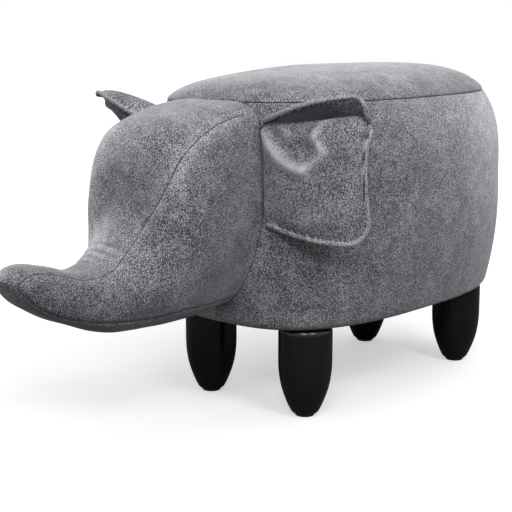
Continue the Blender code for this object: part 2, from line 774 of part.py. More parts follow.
def make_ear(side_name, side, degrees, shape, leather, wadding):
    """Make one ear of the shape (rise, arch, twist): front leather, back leather and wadding."""
    hinge = bpy.data.objects.new("ear_hinge_" + side_name, None)
    bpy.context.collection.objects.link(hinge)
    hinge.matrix_world = ear_hinge(side, degrees)
    grid = ear_middle_grid(side, *shape)
    normals = grid_normals(grid)
    pad_faces = []
    for layer_name, sign in (("ear_front_", side), ("ear_back_", -side)):
        bm = bmesh.new()
        outer = ear_face(grid, normals, 0.0, sign)
        inner = ear_face(grid, normals, EAR_SKIN, sign)
        shell_from_grids(bm, outer, inner)
        finish_object(layer_name + side_name, bm, leather, parent=hinge, crease_degrees=60)
        pad_face = ear_face(grid, normals, EAR_SKIN + EAR_PAD_SPACE, sign)
        pad_faces.append([column[1:-1] for column in pad_face[1:-1]])
    bm = bmesh.new()
    shell_from_grids(bm, *pad_faces)
    finish_object("ear_pad_" + side_name, bm, wadding, parent=hinge, crease_degrees=60)


def make_side_covers(leather, neck_cutter):
    """Make the two halves of the side cover, each from the chin round to the back."""
    profile = edge_profile() + wall_profile()
    outer_profile = offset_profile(profile, 0.0)
    inner_profile = offset_profile(profile, LEATHER)
    half_steps = BODY_SEGMENTS // 2
    for name, side in (("side_cover_left", 1), ("side_cover_right", -1)):
        angles = [-math.pi / 2 + math.pi * step / half_steps for step in range(half_steps + 1)]
        grids = []
        for points in (outer_profile, inner_profile):
            grid = []
            for inset, height in points:
                ring = oval_ring(inset, height, angles)
                for point in ring:
                    point.x = side * max(point.x, SEAM_GAP / 2)
                grid.append(ring)
            grids.append(grid)
        for grid in grids:
            for point in grid[-1]:
                point.z = SEAM_HEIGHT - SEAM_GAP / 2
        bm = bmesh.new()
        shell_from_grids(bm, *grids)
        cover = finish_object(name, bm, leather)
        add_boolean(cover, neck_cutter)


def make_seat_cover(leather, neck_cutter):
    """Make the domed top panel of the seat."""
    points = crown_profile()
    outer = [oval_ring(inset, height, full_turn()) for inset, height in points]
    inner = [oval_ring(inset, height, full_turn()) for inset, height in offset_profile(points, LEATHER)]
    for ring in (outer[0], inner[0]):
        for point in ring:
            point.z = SEAM_HEIGHT + SEAM_GAP / 2
    bm = bmesh.new()
    rims = []
    for rings in (outer, inner):
        rows = [[bm.verts.new(point) for point in ring] for ring in rings]
        for lower, upper in zip(rows, rows[1:]):
            add_band(bm, lower, upper)
        bm.faces.new(rows[-1])
        rims.append(rows[0])
    add_band(bm, *rims)
    cover = finish_object("seat_cover", bm, leather)
    add_boolean(cover, neck_cutter)


def make_head_covers(leather, body_cutter):
    """Make the left and right side panels of the head and the long gusset between them."""
    last_panel_station = SIDE_PANEL_LAST_STATION * HEAD_REFINEMENT
    left_end = SIDE_SEGMENTS
    right_start = SIDE_SEGMENTS + STRIP_SEGMENTS
    right_end = right_start + SIDE_SEGMENTS

    def on_left(station, side):
        return station < last_panel_station and side < left_end

    def on_right(station, side):
        return station < last_panel_station and right_start <= side < right_end

    def on_gusset(station, side):
        return not on_left(station, side) and not on_right(station, side)

    for name, wanted in (
        ("head_panel_left", on_left),
        ("head_panel_right", on_right),
        ("head_gusset", on_gusset),
    ):
        add_boolean(head_panel(name, leather, wanted), body_cutter)


def make_fillings(fibre, body_cutter):
    """Make the stuffing of the head and of the trunk."""
    split = TRUNK_FILLING_STATION * HEAD_REFINEMENT
    bm = bmesh.new()
    closed_head(bm, HEAD_REFINEMENT, FILL_OFFSET, last=split + 1)
    add_boolean(finish_object("head_filling", bm, fibre), body_cutter)
    rings, _ = head_rings(HEAD_REFINEMENT, FILL_OFFSET)
    run = (rings[split + 1][0] - rings[split][0]).normalized()
    bm = bmesh.new()
    closed_head(bm, HEAD_REFINEMENT, FILL_OFFSET, first=split)
    for vertex in bm.verts:
        if min((vertex.co - point).length for point in rings[split]) < GAP:
            vertex.co += run * SOFT_GAP
    finish_object("trunk_filling", bm, fibre)


def bolt_profile():
    """Profile of a leg bolt from its end in the leg to its end above the nut."""
    radius = BOLT_DIAMETER / 2
    top = BLOCK_TOP + GAP + NUT_FLANGE_THICKNESS + BOLT_STAND_ABOVE_NUT
    return [(radius, LEG_TOP - BOLT_DEPTH_IN_LEG), (radius, top)]


def drilled_turning(bm, outline, bore, steps, axis, through):
    """Add a turned solid with a bore down its axis, blind at its lower end or right through."""
    rows = []
    for radius, height in outline + bore:
        row = []
        for step in range(steps):
            angle = math.tau * step / steps
            across = Vector((math.cos(angle), math.sin(angle))) * radius
            row.append(bm.verts.new((axis[0] + across.x, axis[1] + across.y, height)))
        rows.append(row)
    for lower, upper in zip(rows, rows[1:]):
        add_band(bm, lower, upper)
    if through:
        add_band(bm, rows[-1], rows[0])
    else:
        bm.faces.new(rows[0])
        bm.faces.new(rows[-1])


def make_legs(lacquer, glide_surface):
    """Make the four turned legs and the glides under them."""
    radius = LEG_DIAMETER / 2
    outline = [(radius * wide, LEG_FOOT + LEG_LENGTH * high) for wide, high in LEG_PROFILE_SHARES]
    glide_radius = GLIDE_DIAMETER / 2
    glide_outline = [
        (glide_radius - GLIDE_CHAMFER, 0.0),
        (glide_radius, GLIDE_CHAMFER),
        (glide_radius, GLIDE_THICKNESS),
    ]
    bore_radius = BOLT_DIAMETER / 2 + GAP
    bore = [(bore_radius, LEG_TOP), (bore_radius, LEG_TOP - BOLT_DEPTH_IN_LEG - GAP)]
    for place, (x, y) in LEG_PLACES.items():
        bm = bmesh.new()
        drilled_turning(bm, outline, bore, LEG_STEPS, (x, y), through=False)
        finish_object("leg_" + place, bm, lacquer)
        bm = bmesh.new()
        add_turning(bm, glide_outline, GLIDE_STEPS, x, y)
        finish_object("glide_" + place, bm, glide_surface)


def make_bolts_and_nuts(steel):
    """Make the four leg bolts and the tee nuts that take them."""
    flange_bottom = BLOCK_TOP + GAP
    flange_top = flange_bottom + NUT_FLANGE_THICKNESS
    outline = [
        (NUT_BARREL_DIAMETER / 2, flange_bottom - NUT_BARREL_LENGTH),
        (NUT_BARREL_DIAMETER / 2, flange_bottom),
        (NUT_FLANGE_DIAMETER / 2, flange_bottom),
        (NUT_FLANGE_DIAMETER / 2, flange_top),
    ]
    bore_radius = BOLT_DIAMETER / 2 + GAP
    bore = [(bore_radius, flange_top), (bore_radius, flange_bottom - NUT_BARREL_LENGTH)]
    for place, (x, y) in LEG_PLACES.items():
        bm = bmesh.new()
        add_turning(bm, bolt_profile(), BOLT_STEPS, x, y)
        finish_object("leg_bolt_" + place, bm, steel)
        bm = bmesh.new()
        drilled_turning(bm, outline, bore, BOLT_STEPS, (x, y), through=True)
        finish_object("tee_nut_" + place, bm, steel)


def bolt_hole_cutter(name, radius, bottom, top):
    """A cutter for the four bolt holes between two heights."""
    bm = bmesh.new()
    for x, y in LEG_PLACES.values():
        add_turning(bm, [(radius, bottom), (radius, top)], BOLT_STEPS, x, y)
    return make_cutter(name, bm)


def screw_places():
    """Named places of the frame screws, each with the board face it enters and its direction."""
    rail_x = RAIL_OUTER_X - RAIL_THICKNESS / 2
    panel_y = PANEL_OUTER_Y - RAIL_THICKNESS / 2
    lower = (BASE_BOTTOM, 1)
    upper = (SEAT_BOARD_TOP, -1)
    places = {}
    for name, side in (("left", 1), ("right", -1)):
        for end_name, end in (("front", -1), ("rear", 1)):
            place = (side * rail_x, BODY_Y + end * RAIL_SCREW_SPREAD)
            places["screw_rail_" + name + "_" + end_name] = place + lower
        places["screw_seat_" + name] = (side * rail_x, BODY_Y) + upper
    for name, end in (("front", -1), ("rear", 1)):
        for side_name, side in (("left", 1), ("right", -1)):
            place = (side * PANEL_SCREW_SPREAD, BODY_Y + end * panel_y)
            places["screw_panel_" + name + "_" + side_name] = place + lower
        places["screw_seat_" + name] = (0.0, BODY_Y + end * panel_y) + upper
    return places


def add_screw(bm, place, growth):
    """Add one countersunk screw, grown by a clearance where it cuts its hole."""
    x, y, face, direction = place
    shank = SCREW_SHANK_DIAMETER / 2 + growth
    head = SCREW_HEAD_DIAMETER / 2 + growth
    overrun = CUT_OVERRUN if growth > 0.0 else 0.0
    outer = face + direction * (SCREW_SINK - overrun)
    neck = face + direction * (SCREW_SINK + SCREW_HEAD_HEIGHT + growth)
    tip = face + direction * (SCREW_SINK + SCREW_LENGTH + growth)
    add_turning(bm, [(head, outer), (head, neck), (shank, neck), (shank, tip)], SCREW_STEPS, x, y)


def make_frame(plywood, pine, steel):
    """Make the boards, panels, rails and blocks, with their holes, and the screws."""
    hole_bm = bmesh.new()
    for name, place in screw_places().items():
        bm = bmesh.new()
        add_screw(bm, place, 0.0)
        finish_object(name, bm, steel)
        add_screw(hole_bm, place, GAP)
    screw_holes = make_cutter("cut_screw_holes", hole_bm)
    bolt_radius = BOLT_DIAMETER / 2 + GAP
    bolt_holes = bolt_hole_cutter(
        "cut_bolt_holes", bolt_radius, DUST_COVER_BOTTOM - CUT_OVERRUN, BASE_TOP + CUT_OVERRUN
    )

    bm = bmesh.new()
    body_slice(bm, FILL_OFFSET, BASE_BOTTOM, BASE_TOP)
    base = finish_object("base_board", bm, plywood)
    add_boolean(base, bolt_holes)
    add_boolean(base, screw_holes)

    bm = bmesh.new()
    body_slice(bm, FILL_OFFSET + SEAT_BOARD_MARGIN, SEAT_BOARD_BOTTOM, SEAT_BOARD_TOP)
    seat = finish_object("seat_board", bm, plywood)
    add_boolean(seat, screw_holes)

    heights = (FRAME_BOTTOM, FRAME_TOP)
    rail_inner = RAIL_OUTER_X - RAIL_THICKNESS
    panel_inner = PANEL_OUTER_Y - RAIL_THICKNESS
    rail_span = (BODY_Y - RAIL_HALF_LENGTH, BODY_Y + RAIL_HALF_LENGTH)
    panel_span = (-PANEL_HALF_WIDTH, PANEL_HALF_WIDTH)
    boards = {
        "rail_left": ((rail_inner, RAIL_OUTER_X), rail_span),
        "rail_right": ((-RAIL_OUTER_X, -rail_inner), rail_span),
        "panel_front": (panel_span, (BODY_Y - PANEL_OUTER_Y, BODY_Y - panel_inner)),
        "panel_rear": (panel_span, (BODY_Y + panel_inner, BODY_Y + PANEL_OUTER_Y)),
    }
    for name, (x_range, y_range) in boards.items():
        bm = bmesh.new()
        add_box(bm, x_range, y_range, heights)
        add_boolean(finish_object(name, bm, pine), screw_holes)

    for place, (x, y) in LEG_PLACES.items():
        half = BLOCK_SIDE / 2
        bm = bmesh.new()
        add_box(bm, (x - half, x + half), (y - half, y + half), (FRAME_BOTTOM, BLOCK_TOP))
        block = finish_object("block_" + place, bm, pine)
        bevel = block.modifiers.new("eased_edges", "BEVEL")
        bevel.width = BLOCK_CHAMFER
        bevel.segments = 1
        bm = bmesh.new()
        barrel = NUT_BARREL_DIAMETER / 2 + GAP
        span = [(barrel, FRAME_BOTTOM - CUT_OVERRUN), (barrel, BLOCK_TOP + CUT_OVERRUN)]
        add_turning(bm, span, BOLT_STEPS, x, y)
        add_boolean(block, make_cutter("cut_block_" + place, bm))
    return bolt_holes


def make_dust_cover(cloth, bolt_holes):
    """Make the thin cover under the base board."""
    inset = RIM_INSET + EDGE_RADIUS + DUST_COVER_MARGIN
    bottom = DUST_COVER_BOTTOM
    top = DUST_COVER_BOTTOM + DUST_COVER_THICKNESS
    bm = bmesh.new()
    loft(bm, [oval_ring(inset, height, full_turn()) for height in (bottom, top)])
    add_boolean(finish_object("dust_cover", bm, cloth), bolt_holes)


def make_foams(foam):
    """Make the domed seat foam and the two halves of the foam wrapped round the frame."""
    seat_top = whole_profile(FILL_OFFSET)[-1][1]
    bm = bmesh.new()
    body_slice(bm, FILL_OFFSET, SEAT_BOARD_TOP + GAP, seat_top)
    finish_object("seat_foam", bm, foam)

    bm = bmesh.new()
    corner_x = WRAP_CORNER_X + GAP
    corner_y = WRAP_CORNER_Y + GAP
    side_x = RAIL_OUTER_X + GAP
    end_y = PANEL_OUTER_Y + GAP
    outline = [
        (side_x, -corner_y),
        (side_x, corner_y),
        (corner_x, end_y),
        (-corner_x, end_y),
        (-side_x, corner_y),
        (-side_x, -corner_y),
        (-corner_x, -end_y),
        (corner_x, -end_y),
    ]
    bottom = BASE_TOP - CUT_OVERRUN
    top = SEAT_BOARD_BOTTOM + CUT_OVERRUN
    loft(bm, [[Vector((x, BODY_Y + y, height)) for x, y in outline] for height in (bottom, top)])
    frame_cutter = make_cutter("cut_frame_space", bm)
    for name, side in (("foam_wrap_left", 1), ("foam_wrap_right", -1)):
        bm = bmesh.new()
        body_slice(bm, FILL_OFFSET, BASE_TOP + GAP, SEAT_BOARD_BOTTOM - GAP)
        wrap = finish_object(name, bm, foam)
        add_boolean(wrap, frame_cutter)
        bm = bmesh.new()
        far = -side * (BODY_HALF_WIDTH + CUT_OVERRUN)
        x_range = sorted((side * GAP / 2, far))
        y_range = (BODY_FRONT_Y - CUT_OVERRUN, BODY_Y + BODY_HALF_LENGTH + CUT_OVERRUN)
        add_box(bm, x_range, y_range, (BASE_BOTTOM, SEAT_BOARD_TOP))
        add_boolean(wrap, make_cutter("cut_" + name, bm))


def main():
    """Build the whole stool."""
    clear_scene()
    leather = material("grey_leather", LEATHER_COLOUR, 0.55)
    lacquer = material("black_lacquer", LEG_COLOUR, 0.32)
    glide_surface = material("black_nylon", GLIDE_COLOUR, 0.5)
    plywood = material("plywood", PLYWOOD_COLOUR, 0.7)
    pine = material("pine", PINE_COLOUR, 0.7)
    foam = material("foam", FOAM_COLOUR, 0.95)
    fibre = material("polyester_fibre", FIBRE_COLOUR, 0.95)
    steel = material("zinc_steel", STEEL_COLOUR, 0.35, metallic=1.0)
    cloth = material("dust_cloth", DUST_COVER_COLOUR, 0.9)

    neck_bm = bmesh.new()
    closed_head(neck_bm, HEAD_REFINEMENT, -GAP)
    neck_cutter = make_cutter("cut_neck", neck_bm)
    body_bm = bmesh.new()
    body_form(body_bm, LEATHER)
    body_cutter = make_cutter("cut_body", body_bm)

    make_seat_cover(leather, neck_cutter)
    make_side_covers(leather, neck_cutter)
    make_head_covers(leather, body_cutter)
    left_shape = (EAR_LEFT_RISE, EAR_LEFT_ARCH, EAR_LEFT_TWIST_DEGREES)
    right_shape = (EAR_RIGHT_RISE, EAR_RIGHT_ARCH, EAR_RIGHT_TWIST_DEGREES)
    make_ear("left", 1, EAR_LEFT_DEGREES, left_shape, leather, fibre)
    make_ear("right", -1, EAR_RIGHT_DEGREES, right_shape, leather, fibre)
    make_fillings(fibre, body_cutter)
    make_foams(foam)
    bolt_holes = make_frame(plywood, pine, steel)
    make_dust_cover(cloth, bolt_holes)
    make_legs(lacquer, glide_surface)
    make_bolts_and_nuts(steel)


main()
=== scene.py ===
"""Looks of the animal footstool: a padded oval seat on turned legs, made up as a standing elephant.

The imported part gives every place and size. This script sews finer covers over it, stuffs them,
stitches their seams, turns smoother legs, dresses each piece and sets up a plain photo studio.
"""

import json
import logging
import math
from collections.abc import Callable
from dataclasses import dataclass, field
from enum import Enum

import bmesh
import bpy
import numpy as np
from bpy.types import ID, Material, Node, NodeSocket, NodeTree, Object
from mathutils import Matrix, Vector, noise
from mathutils.bvhtree import BVHTree
from mathutils.kdtree import KDTree

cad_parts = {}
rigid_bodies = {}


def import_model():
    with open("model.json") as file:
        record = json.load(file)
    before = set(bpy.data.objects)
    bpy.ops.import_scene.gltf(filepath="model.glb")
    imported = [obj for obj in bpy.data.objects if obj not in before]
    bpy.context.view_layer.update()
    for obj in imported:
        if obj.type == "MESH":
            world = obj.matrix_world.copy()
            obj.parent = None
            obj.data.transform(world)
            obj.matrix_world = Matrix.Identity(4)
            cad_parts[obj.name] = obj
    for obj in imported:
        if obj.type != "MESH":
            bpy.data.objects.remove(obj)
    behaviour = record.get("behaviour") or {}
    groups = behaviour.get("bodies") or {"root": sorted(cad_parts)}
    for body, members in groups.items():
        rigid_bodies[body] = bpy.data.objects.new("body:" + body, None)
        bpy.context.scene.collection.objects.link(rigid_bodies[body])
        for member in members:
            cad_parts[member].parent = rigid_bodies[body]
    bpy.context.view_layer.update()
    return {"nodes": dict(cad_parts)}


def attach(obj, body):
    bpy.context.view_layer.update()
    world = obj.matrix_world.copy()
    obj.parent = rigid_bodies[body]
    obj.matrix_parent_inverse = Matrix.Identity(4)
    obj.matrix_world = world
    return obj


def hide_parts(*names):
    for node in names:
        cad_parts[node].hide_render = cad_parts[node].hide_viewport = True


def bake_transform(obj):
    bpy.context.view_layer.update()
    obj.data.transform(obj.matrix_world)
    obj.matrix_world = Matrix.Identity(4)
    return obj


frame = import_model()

logging.basicConfig(level=logging.INFO, format="%(relativeCreated)6d ms  %(message)s")
log = logging.getLogger("footstool")

MM = 0.001
Pair = tuple[float, float]
Triple = tuple[float, float, float]
Row = tuple[float, ...]
Colour = tuple[float, float, float, float]
Inputs = dict[str | int, object]
Faces = list[tuple[int, ...]]
WHITE = (1.0, 1.0, 1.0, 1.0)
# A noise seldom leaves this range
NOISE_SPAN = (0.3, 0.7)
# Least length that a direction is divided by, and the least that is worth following
TINY = 1e-12
SHORTEST = 1e-7
# Distance in metres from a seam that a piece doesn't have
FAR = 1.0


class Rider(Enum):
    """Bodies of the part that a piece can move with."""

    STOOL = "stool"
    EAR_LEFT = "ear_left"
    EAR_RIGHT = "ear_right"


class Slot(Enum):
    """Finish slots of the part's record, which the new pieces don't use."""

    LEATHER = "grey_leather"
    LACQUER = "black_lacquer"
    STEEL = "zinc_steel"
    CLOTH = "dust_cloth"


# Small workshop helpers


def to_linear(hex_colour: str) -> Colour:
    """Turn an sRGB hex colour into the linear values that the shaders take.

    Args:
        hex_colour: Colour as "#rrggbb".

    Returns:
        Linear red, green, blue and an alpha of one.
    """
    channels = []
    for start in (1, 3, 5):
        value = int(hex_colour[start : start + 2], 16) / 255
        channels.append(value / 12.92 if value <= 0.04045 else ((value + 0.055) / 1.055) ** 2.4)
    return (*channels, 1.0)


def feed(tree: NodeTree, node: Node, inputs: Inputs) -> None:
    """Link or set a node's inputs.

    Args:
        tree: Node tree that holds the node.
        node: The node.
        inputs: Input name or number, with the socket to link or the value to set.
    """
    for key, value in inputs.items():
        if isinstance(value, NodeSocket):
            tree.links.new(value, node.inputs[key])
        else:
            node.inputs[key].default_value = value


def add_node(tree: NodeTree, kind: str, inputs: Inputs | None = None, **settings: object) -> Node:
    """Add one node with its settings, and link or set its inputs.

    Args:
        tree: Node tree that gets the node.
        kind: Blender's type name of the node.
        inputs: Input name or number, with the socket to link or the value to set.
        settings: Properties of the node itself.

    Returns:
        The new node.
    """
    node = tree.nodes.new(kind)
    for name, value in settings.items():
        setattr(node, name, value)
    feed(tree, node, inputs or {})
    return node


def calculate(
    tree: NodeTree, operation: str, *values: NodeSocket | float, clamp: bool = False
) -> NodeSocket:
    """Add one step of arithmetic on sockets and numbers, by Blender's name for it."""
    inputs = dict(enumerate(values))
    return add_node(tree, "ShaderNodeMath", inputs, operation=operation, use_clamp=clamp).outputs[0]


def spread(
    tree: NodeTree,
    value: NodeSocket,
    start: float,
    end: float,
    low: float = 0.0,
    high: float = 1.0,
    **settings: object,
) -> NodeSocket:
    """Stretch one range of a value over another, held at its ends."""
    inputs = {"Value": value, "From Min": start, "From Max": end, "To Min": low, "To Max": high}
    return add_node(tree, "ShaderNodeMapRange", inputs, **settings).outputs[0]


def mixed(
    tree: NodeTree, share: NodeSocket, first: NodeSocket | Colour, second: NodeSocket | Colour
) -> NodeSocket:
    """Mix two colours by a share of the second."""
    inputs = {"Factor": share, 6: first, 7: second}
    return add_node(tree, "ShaderNodeMix", inputs, data_type="RGBA").outputs[2]


def noise_node(tree: NodeTree, place: NodeSocket, size: float, detail: float) -> Node:
    """Add a soft noise, whose largest forms have a real size, with some finer layers."""
    inputs = {"Vector": place, "Scale": 1 / size, "Detail": detail, "Roughness": 0.6}
    return add_node(tree, "ShaderNodeTexNoise", inputs)


def measure_of(tree: NodeTree, name: str) -> NodeSocket:
    """Read a measure that the piece's points carry."""
    return add_node(tree, "ShaderNodeAttribute", attribute_name=name).outputs["Fac"]


def new_material(name: str) -> tuple[Material, NodeTree, Node]:
    """Make an empty Principled material.

    Args:
        name: Name of the finish.

    Returns:
        The material, its node tree and its Principled shader.
    """
    made = bpy.data.materials.new(name)
    made.use_nodes = True
    tree = made.node_tree
    return made, tree, tree.nodes["Principled BSDF"]


def take(item: Object) -> None:
    """Select one object alone and make it active.

    Args:
        item: The object.
    """
    if bpy.context.object is not None and bpy.context.object.mode != "OBJECT":
        bpy.ops.object.mode_set(mode="OBJECT")
    bpy.ops.object.select_all(action="DESELECT")
    item.select_set(True)
    bpy.context.view_layer.objects.active = item


def apply_modifiers(item: Object) -> None:
    """Apply every modifier of an object in its order.

    Args:
        item: The object.
    """
    take(item)
    for step in list(item.modifiers):
        bpy.ops.object.modifier_apply(modifier=step.name)


def basic_shape(add: Callable, **settings: object) -> Object:
    """Add one of Blender's basic shapes, with its turn and scale worked into its points.

    Args:
        add: Operator that adds the shape.
        settings: Its sizes and place.

    Returns:
        The shape, which alone is selected.
    """
    bpy.ops.object.select_all(action="DESELECT")
    add(**settings)
    bpy.ops.object.transform_apply(location=True, rotation=True, scale=True)
    return bpy.context.object


def stand(name: str, data: ID, place: Matrix) -> Object:
    """Put a light or the camera in the scene at its place and turn.

    Args:
        name: Its name.
        data: Its own data.
        place: Where it stands and how it is turned.

    Returns:
        The new object.
    """
    item = bpy.data.objects.new(name, data)
    item.matrix_world = place
    bpy.context.scene.collection.objects.link(item)
    return item


def subdivide(item: Object) -> None:
    """Smooth an object by one step of subdivision.

    Args:
        item: The object.
    """
    step = item.modifiers.new("smooth", "SUBSURF")
    step.levels = 1
    step.render_levels = 1
    apply_modifiers(item)


def modelled(item: Object) -> tuple[np.ndarray, Faces]:
    """Read a pattern's points and faces, and remove it.

    Args:
        item: The pattern.

    Returns:
        Its points, one row each, and its faces as tuples of indices.
    """
    points = mesh_points(item)
    faces = [tuple(face.vertices) for face in item.data.polygons]
    bpy.data.objects.remove(item, do_unlink=True)
    return points, faces


def place_copies(shape: tuple[np.ndarray, Faces], frames: list) -> tuple[np.ndarray, Faces]:
    """Set a copy of a pattern in each of several frames.

    Args:
        shape: The pattern's points and faces.
        frames: For each copy the directions of its three axes, one a row, and its place.

    Returns:
        Points and faces of all the copies.
    """
    pattern, pattern_faces = shape
    points = [pattern @ axes + place for axes, place in frames]
    faces = [
        tuple(number * len(pattern) + index for index in face)
        for number in range(len(frames))
        for face in pattern_faces
    ]
    return np.concatenate(points), faces


def round_angles(count: int, offset: float = 0.0, closed: bool = False) -> np.ndarray:
    """Even angles round the body from its front, the first an offset of a step on."""
    return -math.pi / 2 + math.tau * (np.arange(count + closed) + offset) / count


def grid_faces(rows: int, columns: int, wrap: bool, start: int = 0) -> Faces:
    """Index the quads of a grid of points stored row by row.

    Args:
        rows: Number of rows of points.
        columns: Number of points in a row.
        wrap: Whether the last point of a row joins its first.
        start: Index of the grid's first point.

    Returns:
        One tuple of four indices for each quad.
    """
    faces = []
    last = columns if wrap else columns - 1
    for row in range(rows - 1):
        for column in range(last):
            after = (column + 1) % columns
            low = start + row * columns
            high = low + columns
            faces.append((low + column, low + after, high + after, high + column))
    return faces


def closing_strips(start: int, turns: int) -> Faces:
    """Close a ring of points with strips from each point to its mirror across the middle plane.

    Args:
        start: Index of the ring's first point, which lies in the middle plane.
        turns: Number of points in the ring.

    Returns:
        The strips' faces.
    """
    faces = []
    for column in range(turns // 2):
        other = (turns - column) % turns
        quad = (start + column, start + column + 1, start + turns - column - 1, start + other)
        faces.append(tuple(dict.fromkeys(quad)))
    return faces


def mesh_object(name: str, points: np.ndarray, faces: Faces, finish: Material) -> Object:
    """Make a smooth-shaded object whose faces point outwards.

    Args:
        name: Name of the piece.
        points: Its points, one row each.
        faces: Its faces as tuples of indices.
        finish: Its material.

    Returns:
        The new object at the origin.
    """
    mesh = bpy.data.meshes.new(name)
    mesh.from_pydata(points.tolist(), [], faces)
    bm = bmesh.new()
    bm.from_mesh(mesh)
    bmesh.ops.remove_doubles(bm, verts=bm.verts[:], dist=0.01 * MM)
    bmesh.ops.recalc_face_normals(bm, faces=bm.faces[:])
    bm.to_mesh(mesh)
    bm.free()
    mesh.shade_smooth()
    mesh.materials.append(finish)
    item = bpy.data.objects.new(name, mesh)
    bpy.context.scene.collection.objects.link(item)
    return item


def clustered(count: int, strength: float) -> np.ndarray:
    """Shares from 0 to 1, one more than the count, finer at both ends by a strength from 0 to 1."""
    even = np.linspace(0.0, 1.0, count + 1)
    return even - strength * np.sin(2 * np.pi * even) / (2 * np.pi)


def resample(line: np.ndarray, shares: np.ndarray) -> np.ndarray:
    """Place points along a line at shares of its length.

    Args:
        line: Points of the line, each with any further measures behind its x, y and z.
        shares: Shares of its length, from 0 to 1.

    Returns:
        One point for each share, with its further measures.
    """
    steps = np.linalg.norm(np.diff(line[:, :3], axis=0), axis=1)
    travelled = np.concatenate(([0.0], np.cumsum(steps)))
    wanted = shares * travelled[-1]
    return np.stack([np.interp(wanted, travelled, column) for column in line.T], axis=1)


def surface_tree(*items: Object) -> BVHTree:
    """Gather the surfaces of several objects for finding near points.

    Args:
        items: Mesh objects at the origin.

    Returns:
        One search tree of all their faces.
    """
    points = []
    faces = []
    for item in items:
        start = len(points)
        points += [vertex.co.copy() for vertex in item.data.vertices]
        faces += [tuple(start + index for index in face.vertices) for face in item.data.polygons]
    return BVHTree.FromPolygons(points, faces)


def laid_on(line: np.ndarray, tree: BVHTree) -> tuple[np.ndarray, np.ndarray]:
    """Move a line's points onto the nearest surface.

    Args:
        line: Points of the line.
        tree: Surfaces to lie on.

    Returns:
        The points on the surface, and the surface's normals there.
    """
    places = []
    normals = []
    for point in line:
        place, normal, _, _ = tree.find_nearest(Vector(point))
        places.append(place)
        normals.append(normal)
    return np.array(places), np.array(normals)


def point_tree(points: np.ndarray) -> KDTree:
    """Gather points for finding the nearest of them.

    Args:
        points: The points, one row each.

    Returns:
        Their search tree.
    """
    tree = KDTree(len(points))
    for index, place in enumerate(points):
        tree.insert(Vector(place), index)
    tree.balance()
    return tree


def distance_to(points: np.ndarray, line: np.ndarray) -> np.ndarray:
    """Measure how far each point lies from a line of closely spaced points."""
    tree = point_tree(line)
    return np.array([tree.find(Vector(point))[2] for point in points])


def bell(values: np.ndarray, width: float) -> np.ndarray:
    """Fall from 1 where a value is zero, softly to nearly nothing at twice the width."""
    return np.exp(-((values / width) ** 2))


def climb(values: np.ndarray, start: float, width: float) -> np.ndarray:
    """Climb from 0 at a start to 1 at a width further on, and stay level outside."""
    return np.clip((values - start) / width, 0.0, 1.0)


def side_of(point: np.ndarray, tree: BVHTree) -> float:
    """Tell whether a point lies outside (1) or inside (-1) a closed surface."""
    place, normal, _, _ = tree.find_nearest(Vector(point))
    return 1.0 if (Vector(point) - place).dot(normal) >= 0.0 else -1.0


def mesh_points(item: Object) -> np.ndarray:
    """Read an object's points as an array with one row each.

    Args:
        item: The object.

    Returns:
        Its points.
    """
    flat = np.empty(len(item.data.vertices) * 3)
    item.data.vertices.foreach_get("co", flat)
    return flat.reshape(-1, 3)


def mesh_normals(item: Object) -> np.ndarray:
    """Read an object's point normals as an array with one row each.

    Args:
        item: The object.

    Returns:
        The normals, in the order of its points.
    """
    flat = np.empty(len(item.data.vertices) * 3)
    item.data.vertex_normals.foreach_get("vector", flat)
    return flat.reshape(-1, 3)


def set_points(item: Object, points: np.ndarray) -> None:
    """Write an object's points back and refresh its mesh."""
    item.data.vertices.foreach_set("co", points.ravel())
    item.data.update()


def set_measure(item: Object, name: str, values: np.ndarray) -> None:
    """Store one number for each point of a piece, for its finish to read."""
    measure = item.data.attributes.new(name, "FLOAT", "POINT")
    measure.data.foreach_set("value", values.astype(np.float32))


# Finishes


